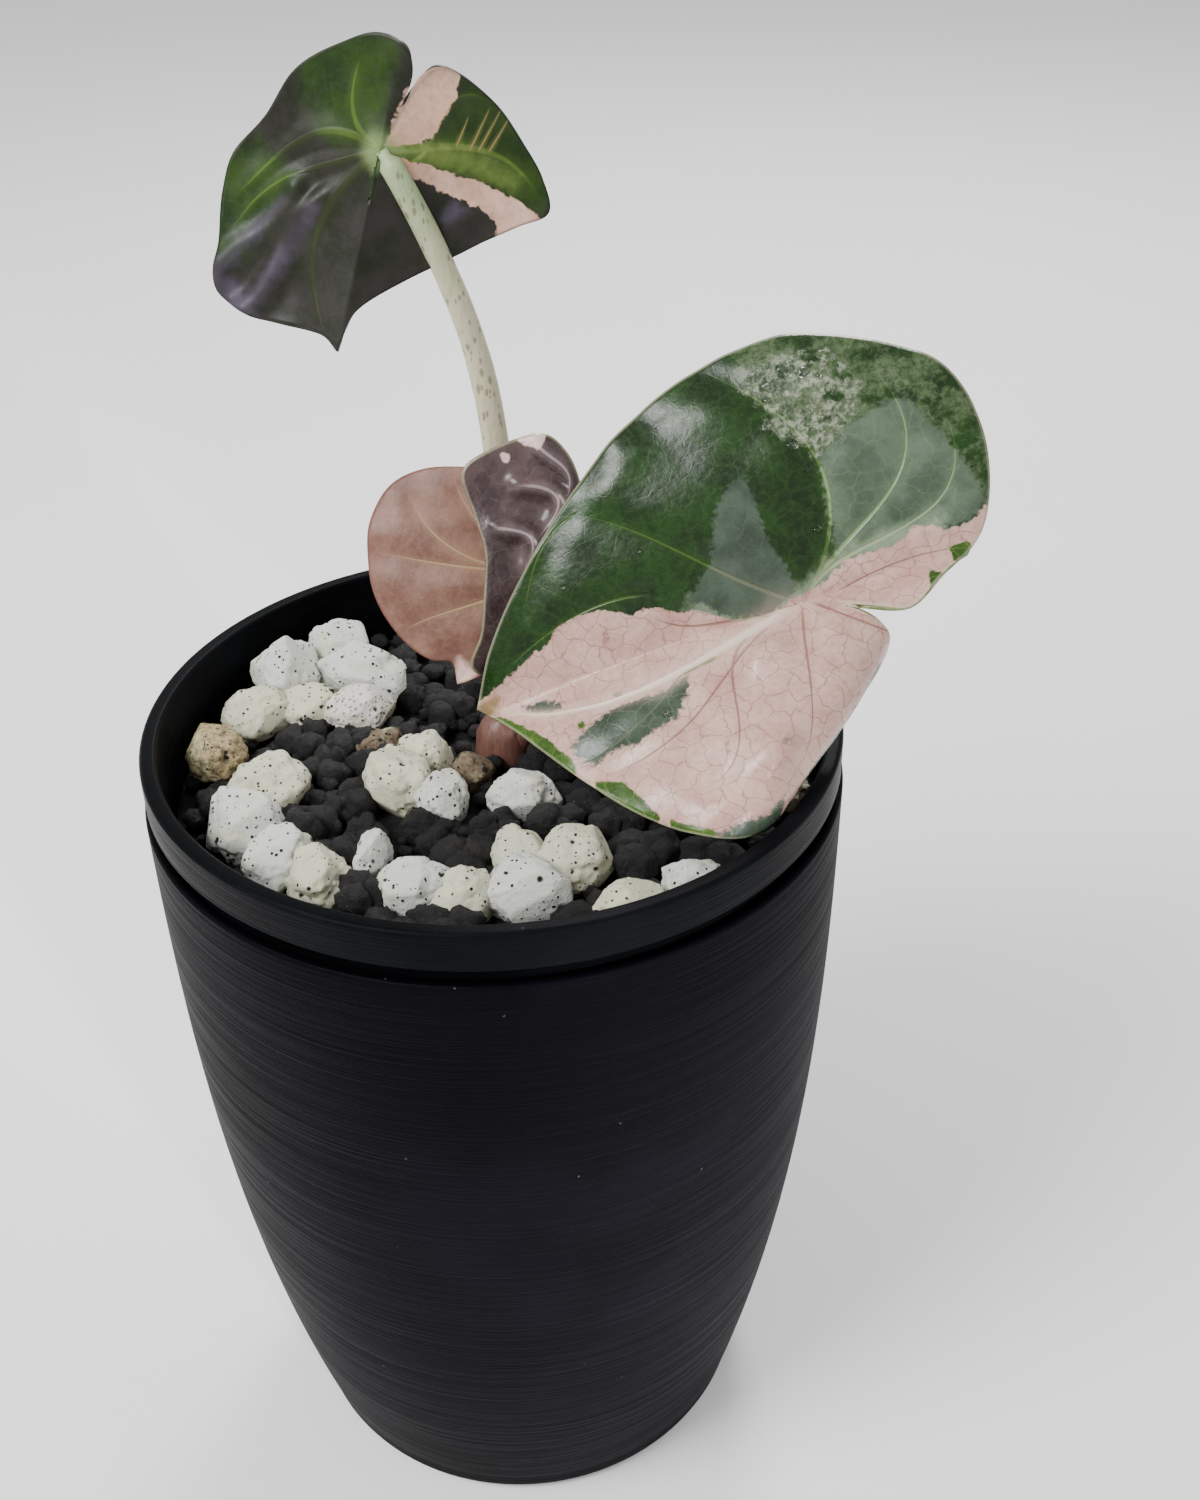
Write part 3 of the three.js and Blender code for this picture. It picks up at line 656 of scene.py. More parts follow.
def stalkFinish(name):
    material, tree, shader = newMaterial(name)
    top, middle, foot, streaks = [screen(*colour) for colour in stalkLooks[name][:4]]
    amount = stalkLooks[name][4]
    where = inMillimetres(tree)
    parts = node(tree, "SeparateXYZ", {0: where}, out=None)
    cloud = speckle(tree, where, 0.25, 3.0)
    high = timesPlus(tree, calc(tree, "SUBTRACT", cloud, 0.5), 30.0, parts[2])
    colour = blend(tree, spread(tree, high, 126, 150), foot, middle)
    colour = blend(tree, spread(tree, high, 180, 204), colour, top)
    long = node(tree, "VectorMath", {0: where, 1: (1.0, 1.0, 0.16)}, operation="MULTIPLY")
    grain = speckle(tree, long, 1.6, 4.0, 0.6)
    colour = blend(tree, spread(tree, grain, 0.45, 0.7, 0.0, 0.45), colour, streaks)
    dash = node(tree, "VectorMath", {0: where, 1: (1.0, 1.0, 0.45)}, operation="MULTIPLY")
    marks = place(tree, crumbs, {"Vector": dash, "Scale": 1.7, "Size": 0.85})
    colour = blend(tree, times(tree, marks, amount), colour, screen(70, 52, 38))
    wire(tree, shader, baseColor=colour, normal=bump(tree, grain, 0.3, 0.0003),
         roughness=spread(tree, grain, 0.3, 0.7, 0.38, 0.55), glow=0.12, glowReach=(0.002, 0.0012, 0.0006))
    return material


def makeStalks():
    bm = bmesh.new()
    addStalk(bm, stalks["upper"])
    bmesh.ops.recalc_face_normals(bm, faces=bm.faces)
    finishPiece(bm, "upper_stalk_fine", [stalkFinish("paleStalk")], "upper_stalk")
    low, radius = crown["bottom"], crown["radius"]
    profile = [(0, low), (3.2, low), (radius, low + 3), (radius, 118), (4.2, 121), (3.8, 123.5),
               (3.1, 125.4), (2.2, 126.6), (1.2, 127.1), (0, 127.2)]
    bm = spun(profile, 40)
    bmesh.ops.translate(bm, vec=(crown["x"], crown["y"], 0), verts=bm.verts)
    for vert in bm.verts:
        vert.co.x += 0.5 * noise.noise(vert.co / 3)
    addStalk(bm, stalks["large"])
    addStalk(bm, stalks["small"])
    bmesh.ops.recalc_face_normals(bm, faces=bm.faces)
    finishPiece(bm, "crown_and_stalks_fine", [stalkFinish("redStalk")], "crown_and_stalks")
    print("stalks done")


# Margins are flat, in mm from the stalk: towards the tip, then to the side. A vein or pleat is start,
# heading in degrees, length, bow, lean and width; a pleat ends with its height.
leaves = {
    "upper": {
        "node": "blade_upper", "slot": "dark_leaf", "junction": (-12.4, 24, 204.6),
        "tip": (-20, 20, 178.7), "facing": (0, 0.94, 0.34),
        "left": {"rise": 35, "bend": 0, "over": 1, "curve": -8},
        "right": {"rise": 12, "bend": 0, "over": 1, "curve": -6}, "droop": (200, 60), "curl": None,
        "around": 300, "rings": 44, "thickness": 0.6, "crease": 7.5, "bulge": 0.5, "wave": 0.5,
        "marginLeft": [
            (27.1, 0.2), (25.7, 2.4), (25.5, 5), (25.7, 9), (25.6, 14.5), (23.5, 19.8), (17.9, 20.3),
            (11.2, 21.2), (6, 20.7), (0.2, 17), (-5.7, 14.3), (-10.6, 8.7), (-13.6, 3.6), (-13.4, -0.6),
            (-10, -2.1), (-2.6, -0.7)],
        "marginRight": [
            (27.1, 0.2), (24.6, -0.2), (22.6, -0.6), (20.6, -1.7), (15.6, -7.4), (10.4, -14), (5.6, -20.4),
            (2.6, -24.3), (-1.4, -22.4), (-5.3, -18.4), (-9, -13.8), (-11.6, -8), (-11.8, -4.9),
            (-9.6, -3.1), (-2.6, -0.7)],
        "veins": [
            ((0, 0), 4, 26, 0.87, 0.14, 0.9), ((0, 0), 151, 11.5, -0.89, 0.2, 0.6),
            ((0, 0), 60, 22, 0.74, -0.3, 0.7), ((0, 0), 50, 24.5, 0.39, 0.26, 0.5),
            ((0, 0), -88, 22.3, -0.58, -0.32, 0.9), ((0, 0), -126, 15.6, 0.23, -1.66, 0.45)],
        "paleVeins": [
            ((-2.4, -11.6), 193, 6.4, 0.1, 0, 0.17), ((-2.6, -12.8), 196, 6.6, 0.1, 0, 0.15),
            ((-2.8, -14.2), 199, 5.6, 0.1, 0, 0.15), ((-2.6, -9.8), 190, 4.4, 0.1, 0, 0.13)],
        "pleats": [
            ((20.4, 19.5), -145, 15, 0.2, 0.32, 1.6, -1.3), ((25.1, 15.5), -153, 18.4, 0, -0.5, 1.6, -1.3),
            ((8, -10.9), -120, 8, -0.09, -0.09, 1.4, -0.7)],
        "zones": {
            "hub": [[(2.6, 0.4), (1.2, 2.2), (-1.6, 1.8), (-2.2, -0.8), (-0.6, -3), (1.6, -2.2)]],
            "lime": [
                [(-0.5, -1), (-2.2, -6), (-2.6, -12), (-0.8, -19), (0.9, -19.5), (0.6, -12), (0.7, -6)]],
            # Lilac streaks along the pleat ridges: painted highlight where the folds catch the light.
            "lilacRidgeHighlight": [
                [(20.8, 20.2), (15, 16.6), (9.6, 12.6), (10, 11.5), (15.6, 15), (21, 18.8)],
                [(25.6, 16.4), (18, 12.4), (9, 8), (9.2, 6.8), (18.5, 10.6), (25.8, 14.4)],
                [(25.8, 13), (25.5, 18), (22, 21), (18, 21.5), (21, 18.5), (24, 14)],
                [(4, -11.5), (7, -10), (7.8, -11), (5, -13.4)]],
            "pink": [
                [(-10.8, -2.7), (-13, -5), (-13, -8), (-10.3, -8.2), (-8.5, -8.5), (-6, -7.5), (-3, -6.5),
                 (-2, -5), (-1, -2.5), (-0.6, -0.3), (-4, -1)],
                [(0.5, -3), (0.5, -8), (1, -12), (1, -15), (2, -18.5), (3, -22.5), (5, -25), (9, -19),
                 (5.5, -17.5), (4.5, -15), (4, -12), (3, -8), (2.5, -5), (1.5, -2.5)]],
            "olive": [
                [(0, 0), (-2, -6), (-9, -9), (-13, -9), (-8, -24), (0, -27), (3, -23), (1, -12),
                 (0.5, -4)],
                [(-1, 0.5), (1, 6), (-2, 12), (-7, 14), (-14, 8), (-14, 0)],
                [(7, 11), (14, 14), (20, 18), (18, 23), (8, 23), (3, 18)]],
        },
    },
    "large": {
        "node": "blade_large", "slot": "pink_leaf", "junction": (43.1, -4, 151),
        "tip": (-1.7, -7.5, 137.3), "facing": (0, -0.62, 0.78),
        "left": {"rise": 26, "bend": 0, "over": 1, "curve": -8},
        "right": {"rise": 36, "bend": 0, "over": 1, "curve": -10}, "droop": (250, 250),
        "curl": {"heading": 135, "start": 6, "radius": 5.5, "most": 125},
        "around": 400, "rings": 60, "thickness": 0.6, "crease": 6.0, "bulge": 0.55, "wave": 0.45,
        "marginLeft": [
            (47.8, -1.4), (43, 4.6), (35.3, 15.4), (27.5, 24.6), (19.1, 30.4), (11, 31.6), (3, 30),
            (-5, 25.5), (-11, 19), (-14, 13), (-12.4, 9.4), (-4.4, 2.75)],
        "marginRight": [
            (47.8, -1.4), (42.5, -8.5), (33.7, -17.1), (23.7, -25), (11.8, -32.2), (-0.2, -35.6),
            (-9.6, -35.3), (-18.6, -31.1), (-26.2, -25), (-28.6, -16), (-27.3, -6.5), (-25.2, -2),
            (-19.5, 2.2), (-12.8, 6.5), (-4.4, 2.75)],
        "veins": [
            ((0, 0), -2, 47, 0.58, 0.25, 0.8), ((0, 0), -84, 34.6, -1.02, 0.21, 0.55),
            ((0, 0), -123, 32.1, -0.75, -0.71, 0.6), ((0, 0), -141, 31.4, -0.65, -0.98, 0.5),
            ((0, 0), -41, 32.7, -0.01, -0.16, 0.6), ((24.7, -21.6), 42, 15, -0.5, 0.15, 0.35),
            ((4, 1), -22, 17.5, 0.25, 0.4, 0.55), ((19.5, -8), 7, 21.5, -0.35, 0.1, 0.4),
            ((3.6, 1.4), 29, 31.8, 0.35, 0.38, 0.45), ((7.1, 2.5), 60, 24.5, 0.16, 0.93, 0.4),
            ((0.1, 0.6), 76, 24, 0.12, 0.15, 0.4), ((-1, 0.7), 153, 14, -0.63, -0.26, 0.5),
            ((15, 3.2), 30, 22, 0.3, 0.2, 0.3), ((-4, 0.4), -178, 20, 0.3, 0, 0.3)],
        "paleVeins": [((0, 0), -2, 47, 0.58, 0.25, 1.0)],
        "pleats": [((5.5, 6.5), 30, 3, 0, 0, 1.6, 1.1), ((8, 20.5), 40, 3, 0, 0, 1.5, 0.7)],
        "zones": {
            "tan": [[(44.5, -2.2), (49, -1.8), (49, 0.6), (45, 0.4)]],
            "bloom": [
                [(14, -5.5), (8, -1.8), (4.5, -1.6), (-1.5, -3), (-7, -5.6), (-14, -6.4), (-21, -6.4),
                 (-21, -3), (-13.5, -3), (-7, -3), (-3.5, -1), (4.5, 1), (11, -0.5), (15.5, -3.5)]],
            "smoke": [
                [(-5, -3), (-6.5, -10), (-7.5, -18), (-4, -24), (-1, -30), (0, -38), (-20, -38),
                 (-34, -20), (-34, -5), (-26, -5), (-13, -4)]],
            "silver": [
                [(-5, -3), (-6, -4.5), (-6.5, -9.5), (-7, -15), (-7.5, -18), (-9.5, -19), (-12.5, -21),
                 (-17, -22.5), (-20, -22.5), (-22.5, -18), (-25.5, -11.5), (-26.5, -7.5), (-26.5, -5.5),
                 (-24, -4), (-19, -5), (-13.5, -4), (-7, -4)]],
            "slateAndShade": [
                [(7.5, -15.5), (4, -18.5), (2.5, -18.5), (2, -16), (2, -10), (1.5, -7.5), (0.5, -5),
                 (0.5, -2), (4.5, 0), (8, -0.5), (11, -2), (12, -4), (14, -5.5), (12, -8), (10, -9),
                 (9, -12)],
                [(27, 7.5), (22.5, 7.5), (17.5, 6.5), (17.5, 8.5), (20.5, 12.5), (24, 13.5), (26.5, 14.5),
                 (29, 14), (32.5, 15), (34, 13.5), (35, 11.5), (32, 9.5), (29.5, 8)],
                [(41, 1.2), (37.5, 1.8), (35, 3.4), (36, 4.4), (40, 2.8)],
                [(20, 30), (15.5, 29), (12.5, 29), (10, 27), (9, 33), (16, 34), (21, 32)],
                # This outline, on the curled lobe, is painted shade where the blade turns away from the
                # light; the other slate outlines are the blade's own dark grey marks.
                [(-9, 12), (-2, 20), (6, 27.5), (3, 34), (-10, 30), (-17, 20), (-15, 12)]],
            # The wet patch under the puddle drops: its pale tone is painted glare of the water film over the
            # darker leaf beneath.
            "wetPatchGlints": [
                [(-2.5, -23.5), (-2.5, -28), (-0.5, -30), (-4, -32.5), (-8, -32.5), (-12.5, -30.5),
                 (-14.5, -27.5), (-15, -24.5), (-12.5, -21), (-9.5, -19), (-6.5, -18.5), (-4.5, -21)]],
            "pink": [
                [(46.5, -2.5), (43, -3.5), (39.5, -5), (36, -6), (34, -6.5), (32.5, -8), (30.5, -8.5),
                 (27, -8.5), (25.5, -8), (22.5, -6), (21, -6.5), (18, -5.5), (15.5, -4), (13.5, -4),
                 (11, -1.5), (8, 0), (4.5, 0), (1.5, -1), (-1.5, -1.5), (-3.5, -2), (-7, -4), (-10, -4),
                 (-13.5, -4), (-17, -5.5), (-19, -5), (-21, -4), (-24, -4), (-26.5, -5.5), (-32, -5),
                 (-32, 10), (-20, 34), (10, 40), (40, 30), (54, 0)]],
            "green": [
                [(18.2, 5.2), (13.4, 4.2), (13.2, 5.1), (18, 6.2)],
                [(46.8, 0.4), (44, 2), (41, 5.2), (38, 8.6), (36.4, 11.4), (34.6, 14.4), (37, 17),
                 (42, 11), (48, 3)],
                [(32.6, 17.4), (29.4, 18.8), (27.8, 21.2), (25.6, 25), (28, 28), (34, 22)],
                [(24.5, 26), (22, 27.8), (19.5, 29), (20, 31), (25, 28)],
                [(33.4, 8), (32.4, 8.4), (32.4, 9.6), (33.6, 9.4)],
                [(27.4, 4.8), (26.6, 5.4), (27.6, 6), (28.2, 5.2)],
                [(-17.2, 1.5), (-18.5, 2.6), (-17.5, 5.5), (-16.2, 4.8)],
                [(-20.9, -1.3), (-23.7, -1.5), (-24.5, 1.2), (-20.5, 1.1)]],
        },
    },
    "small": {
        "node": "blade_small", "slot": "dusky_leaf", "junction": (7.7, 12, 147.5), "tip": (-5.4, 5, 133.7),
        "facing": (-0.2, -0.9, 0.4), "left": {"rise": 0, "bend": 165, "over": 7, "curve": 0},
        "right": {"rise": 6, "bend": 0, "over": 1, "curve": -5}, "droop": (200, 200), "curl": None,
        "around": 300, "rings": 46, "thickness": 0.55, "crease": 0.0, "bulge": 0.45, "wave": 0.3,
        "paleVeins": [],
        "marginLeft": [
            (20.5, 0), (17, 3.2), (16.4, 7), (12.1, 8.7), (7.2, 12), (2.4, 15.8), (-0.4, 20), (-3.9, 25.1),
            (-8.1, 24.2), (-14.7, 19.5), (-14.8, 15.5), (-11.5, 9.5), (-7.2, 3.4), (-2, 0.6)],
        "marginRight": [
            (20.5, 0), (18.5, -2.6), (20.1, -5.2), (20.6, -9.5), (18.9, -16.2), (15.1, -21.3),
            (9.4, -25.2), (3.8, -25.8), (-0.4, -23.7), (-4.5, -19), (-8, -13), (-8, -6.5), (-6, -1.4),
            (-2, 0.6)],
        "veins": [
            ((0.3, -1), -82, 22.8, 0.62, 0.08, 0.6), ((0.3, -1), -58, 23.5, 0.1, 0, 0.6),
            ((0.3, -1), -28, 21.3, 0.1, -0.2, 0.55), ((0.3, -0.6), -100, 20, 0.4, 0.1, 0.4),
            ((0, 0), 0, 19, 0, 0, 0.6), ((-7.2, 18), -57, 8.1, -2.36, 0.34, 0.3),
            ((-0.9, 16.7), -79, 7, -1.54, -0.78, 0.3), ((-13.1, 20), -67, 9.2, -0.79, -0.77, 0.3)],
        "pleats": [
            ((-7.2, 18), -57, 9, -2.36, 0.34, 1.2, -1.5), ((-0.9, 16.7), -79, 8, -1.54, -0.78, 1.2, -1.5),
            ((-13.1, 20), -67, 10, -0.79, -0.77, 1.2, -1.3)],
        "zones": {
            "pink": [
                [(17.2, -2.2), (21.5, -1), (21.5, 1.5), (17.5, 1.5)],
                [(-12.6, 18.8), (-16, 19.6), (-15, 23), (-11.6, 22.2)],
                [(-8.6, 21), (-9.6, 21.6), (-9.2, 22.6), (-8.2, 22)]],
            "edging": [
                [(8, 12.5), (2.4, 16.6), (-0.4, 20.8), (-3.4, 25.4), (-2.4, 23), (-1.2, 19), (1.6, 15),
                 (7.6, 10.8)]],
        },
    },
}


def bowed(start, heading, length, bow, lean, steps=40):  # places along a vein or pleat, flat
    s = np.linspace(0, 1, steps)
    side = length * s * (1 - s) * (bow + lean * (2 * s - 1))
    c, n = math.cos(math.radians(heading)), math.sin(math.radians(heading))
    return np.stack([start[0] + length * s * c - side * n, start[1] + length * s * n + side * c], 1)


def distanceTo(points, line):
    best = np.full(len(points), 1e9)
    for a, b in zip(line[:-1], line[1:]):
        way = b - a
        t = np.clip(((points - a) @ way) / max(way @ way, 1e-9), 0, 1)
        best = np.minimum(best, np.hypot(*(points - a - t[:, None] * way).T))
    return best


def depthIn(points, shapes):  # mm inside the nearest shape, negative outside
    deepest = np.full(len(points), -1e9)
    for shape in shapes:
        ring = np.array(shape + [shape[0]], float)
        inside = np.zeros(len(points), bool)
        for (ax, ay), (bx, by) in zip(ring[:-1], ring[1:]):
            crosses = (ay > points[:, 1]) != (by > points[:, 1])
            with np.errstate(divide="ignore", invalid="ignore"):
                at = ax + (points[:, 1] - ay) * (bx - ax) / (by - ay)
            inside ^= crosses & (points[:, 0] < at)
        away = distanceTo(points, ring)
        deepest = np.maximum(deepest, np.where(inside, away, -away))
    return deepest


def reliefOf(points, leaf, margin):  # height over the smooth blade, upwards, and the distance to its margin
    veins = np.full(len(points), 1e9)
    for *path, _ in leaf["veins"]:
        veins = np.minimum(veins, distanceTo(points, bowed(*path)))
    edge = distanceTo(points, margin)
    height = leaf["bulge"] * (1 - np.exp(-(veins / 2.2) ** 2)) * np.clip(edge / 4, 0, 1)
    for *path, width, tall in leaf["pleats"]:
        height += tall * np.exp(-(distanceTo(points, bowed(*path)) / width) ** 2)
    seed = leaf["junction"][0]
    for index, (a, b) in enumerate(points):
        near = 1 - min(edge[index] / 8, 1)
        height[index] += leaf["wave"] * noise.noise(Vector((a / 7, b / 7, seed)))
        height[index] += 0.5 * near * noise.noise(Vector((a / 5, b / 5, 9 + seed)))
    hub = np.hypot(points[:, 0], points[:, 1])
    return height * np.clip(hub / 4, 0, 1), edge


def bentSide(distance, side):
    first, rest = np.minimum(distance, side["over"]), np.maximum(distance - side["over"], 0)
    steady = math.radians(side["curve"]) / 10 or 1e-6
    early = math.radians(side["bend"]) / side["over"] + steady
    start = math.radians(side["rise"])
    middle = start + early * first
    end = middle + steady * rest
    out = (np.sin(middle) - math.sin(start)) / early + (np.sin(end) - np.sin(middle)) / steady
    up = (math.cos(start) - np.cos(middle)) / early + (np.cos(middle) - np.cos(end)) / steady
    return out, up, end


def placeOnLeaf(leaf, points, height):
    a, b, h = points[:, 0].copy(), points[:, 1].copy(), height.copy()
    if leaf["curl"]:
        curl, notch = leaf["curl"], leaf["marginLeft"][-1]
        c, n = math.cos(math.radians(curl["heading"])), math.sin(math.radians(curl["heading"]))
        past = np.maximum(a * c + b * n - curl["start"], 0)
        past[(b <= 0) | (np.arctan2(b, a) > math.atan2(notch[1], notch[0]) - 1e-4)] = 0
        turn = np.minimum(past / curl["radius"], math.radians(curl["most"]))
        over = past - turn * curl["radius"]
        reach = (curl["radius"] + h) * np.sin(turn) + over * np.cos(turn)
        h = np.where(past > 0, (curl["radius"] + h) * np.cos(turn) - curl["radius"] - over * np.sin(turn), h)
        a, b = a + np.where(past > 0, reach - past, 0) * c, b + np.where(past > 0, reach - past, 0) * n
    leftOut, leftUp, leftSlope = bentSide(np.maximum(b, 0), leaf["left"])
    rightOut, rightUp, rightSlope = bentSide(np.maximum(-b, 0), leaf["right"])
    isLeft = b >= 0
    slope = np.where(isLeft, leftSlope, -rightSlope)
    y = np.where(isLeft, leftOut, -rightOut) - h * np.sin(slope)
    z = np.where(isLeft, leftUp, rightUp) + h * np.cos(slope)
    radius = np.where(a >= 0, leaf["droop"][0], leaf["droop"][1])
    x = (radius + z) * np.sin(a / radius)
    rise = (radius + z) * np.cos(a / radius) - radius
    junction = Vector(leaf["junction"])
    along = (Vector(leaf["tip"]) - junction).normalized()
    facing = Vector(leaf["facing"])
    upward = (facing - along * facing.dot(along)).normalized()
    across = upward.cross(along)
    return (np.array(junction) + x[:, None] * np.array(along) + y[:, None] * np.array(across)
            + rise[:, None] * np.array(upward))


def ringedSheet(outline, rings):  # a flat sheet in rings of faces, which close in on the stalk
    bm = bmesh.new()
    ring = [bm.verts.new(point) for point in outline]
    edges = [bm.edges.new((ring[i - 1], ring[i])) for i in range(len(ring))]
    for step in range(1, rings):
        made = bmesh.ops.extrude_edge_only(bm, edges=edges)["geom"]
        ring = [part for part in made if isinstance(part, bmesh.types.BMVert)]
        edges = [part for part in made if isinstance(part, bmesh.types.BMEdge) and part.is_boundary]
        closer = (rings - step) / (rings - step + 1)
        bmesh.ops.scale(bm, vec=(closer, closer, 1), verts=ring)
    bmesh.ops.contextual_create(bm, geom=edges)
    bmesh.ops.triangulate(bm, faces=[face for face in bm.faces if len(face.verts) > 4])
    if sum(face.normal.z for face in bm.faces) < 0 or bm.faces[:][0].normal.z < 0:
        bmesh.ops.reverse_faces(bm, faces=bm.faces)
    return bm


def soften(bm, verts, rounds):
    for _ in range(rounds):
        bmesh.ops.smooth_vert(bm, verts=verts, factor=0.5, use_axis_x=True, use_axis_y=True, use_axis_z=True)


def makeLeaf(name, leaf, finishes):
    left, right = [smoothPath([(a, b, 0) for a, b in leaf[side]], leaf["around"] // 2)
                   for side in ("marginLeft", "marginRight")]
    outline = left[:-1] + right[:0:-1]
    bm = ringedSheet(outline, leaf["rings"])
    points = np.array([vert.co[:2] for vert in bm.verts])
    margin = np.array([point[:2] for point in outline + outline[:1]])
    height, edge = reliefOf(points, leaf, margin)
    values = {label: depthIn(points, shapes) for label, shapes in leaf["zones"].items()}
    values["edge"] = edge
    flat = bm.verts.layers.float_vector.new("flat")
    layers = {label: bm.verts.layers.float.new(label) for label in values}
    placed = placeOnLeaf(leaf, points, height)
    for index, vert in enumerate(bm.verts):
        vert[flat] = (points[index][0], points[index][1], 0)
        for label, layer in layers.items():
            vert[layer] = float(values[label][index])
        vert.co = placed[index]
    inner = [vert for vert in bm.verts if not vert.is_boundary]
    fold = [vert for vert in inner if abs(vert[flat][1]) < leaf["crease"] and vert[flat].length > 3]
    soften(bm, fold, int(leaf["crease"] * 8))
    soften(bm, inner, 3)
    piece = finishPiece(bm, name + "_leaf", finishes, leaf["node"])
    wall = piece.modifiers.new("thickness", "SOLIDIFY")
    wall.thickness = leaf["thickness"] * mm
    wall.offset = 0
    wall.material_offset = 1
    wall.material_offset_rim = 2
    print(name, "leaf", len(piece.data.polygons))


def addZones(tree, flat, cloud, fine, traits):  # the face's colour, the veins' colour, and two masks
    colour = blend(tree, spread(tree, cloud, 0.35, 0.65), *traits["base"])
    veinColour, netShare, wet = traits["vein"], traits["netShare"], None
    for area in traits["zones"]:
        mask = place(tree, zoneEdge, {
            "Vector": flat, "Depth": own(tree, area["name"]), "Waver": area["waver"],
            "Size": area["size"], "Softness": area["soft"]})
        if area["patchy"]:
            holes = spread(tree, speckle(tree, flat, area["patchy"], 5.0, 0.7), 0.42, 0.55)
            mask = times(tree, mask, holes)
        mask = times(tree, mask, area["strength"])
        tone = blend(tree, spread(tree, fine if area["fine"] else cloud, 0.35, 0.65), *area["colours"])
        colour = blend(tree, mask, colour, tone)
        veinColour = blend(tree, mask, veinColour, area["vein"])
        if area["name"] == "pink":
            netShare = spread(tree, mask, 0.0, 1.0, traits["netShare"], traits["pinkNet"])
        if area["wet"]:
            wet = mask
    return colour, veinColour, netShare, wet


def addVein(tree, flat, vein, widen=1.0):
    start, heading, length, bow, lean, width = vein
    return place(tree, veinLine, {
        "Vector": flat, "Start": (*start, 0), "Heading": math.radians(heading), "Length": length,
        "Arc": bow, "Skew": lean, "Width": width * widen}, out=None)


def leafFinish(name, leaf, traits):
    material, tree, shader = newMaterial(name)
    flat = flatOnLeaf(tree)
    cloud = speckle(tree, flat, 0.16, 4.0, 0.6)
    fine = speckle(tree, flat, 1.1, 5.0, 0.65)
    colour, veinColour, netShare, wet = addZones(tree, flat, cloud, fine, traits)
    colour = blend(tree, spread(tree, fine, 0.4, 0.7, 0.0, 0.2), colour, traits["fleck"])
    net = place(tree, veinNet, {"Vector": flat, "Scale": traits["netScale"], "Width": traits["netWidth"],
                                "Stray": 2.4})
    colour = blend(tree, times(tree, net, netShare), colour, veinColour)
    lines = None
    for vein in leaf["veins"]:
        drawn = addVein(tree, flat, vein, traits["veinWidth"])
        both = timesPlus(tree, drawn["Shoulder"], traits["veinGlow"], drawn["Line"])
        lines = both if lines is None else calc(tree, "MAXIMUM", lines, both)
    colour = blend(tree, times(tree, lines, traits["veinShare"]), colour, veinColour)
    for vein in leaf["paleVeins"]:
        drawn = addVein(tree, flat, vein)
        both = timesPlus(tree, drawn["Shoulder"], 0.3, times(tree, drawn["Line"], 0.6))
        colour = blend(tree, both, colour, traits["pale"])
    rim = spread(tree, own(tree, "edge"), 0.12, 0.42, traits["rimShare"], 0.0)
    colour = blend(tree, rim, colour, traits["rim"])
    relief = times(tree, net, -0.04 * traits["side"])
    relief = timesPlus(tree, lines, -0.5 * traits["side"], relief)
    relief = calc(tree, "ADD", cloud, relief)
    relief = timesPlus(tree, fine, 0.1, relief)
    rough = spread(tree, fine, 0.3, 0.7, traits["roughness"] - 0.05, traits["roughness"] + 0.07)
    if wet:
        rough = timesPlus(tree, wet, -0.12, rough)
        relief = timesPlus(tree, times(tree, wet, fine), 1.6, relief)
    wire(tree, shader, baseColor=colour, roughness=rough, normal=bump(tree, relief, traits["bump"], 0.00035),
         specular=traits["specular"], glow=traits["glow"], glowReach=(0.0012, 0.0008, 0.0005))
    return material


def zone(name, first, second, vein, **more):
    made = {"name": name, "colours": (screen(*first), screen(*second)), "vein": screen(*vein), "waver": 0.5,
            "size": 0.6, "soft": 0.15, "patchy": 0, "strength": 1.0, "fine": False, "wet": False}
    made.update(more)
    return made


def look(first, second, vein, **more):
    made = {"base": (screen(*first), screen(*second)), "vein": screen(*vein), "pale": screen(228, 208, 190),
            "fleck": screen(50, 84, 26), "roughness": 0.27, "netShare": 0.16, "pinkNet": 0.6,
            "netScale": 0.34, "netWidth": 0.05, "veinWidth": 0.75, "veinGlow": 0.14, "veinShare": 0.7,
            "rimShare": 0.3, "rim": screen(205, 202, 170), "side": 1.0, "bump": 0.5, "specular": 0.34,
            "glow": 0.06, "zones": []}
    made.update(more)
    return made


def marginFinish(name, first, second):
    material, tree, shader = newMaterial(name)
    flat = flatOnLeaf(tree)
    patches = speckle(tree, flat, 0.3, 4.0, 0.6)
    colour = blend(tree, spread(tree, patches, 0.4, 0.6), screen(*first), screen(*second))
    wire(tree, shader, baseColor=colour, roughness=spread(tree, patches, 0.3, 0.7, 0.35, 0.5),
         normal=bump(tree, speckle(tree, flat, 2.0), 0.3, 0.0002))
    return material


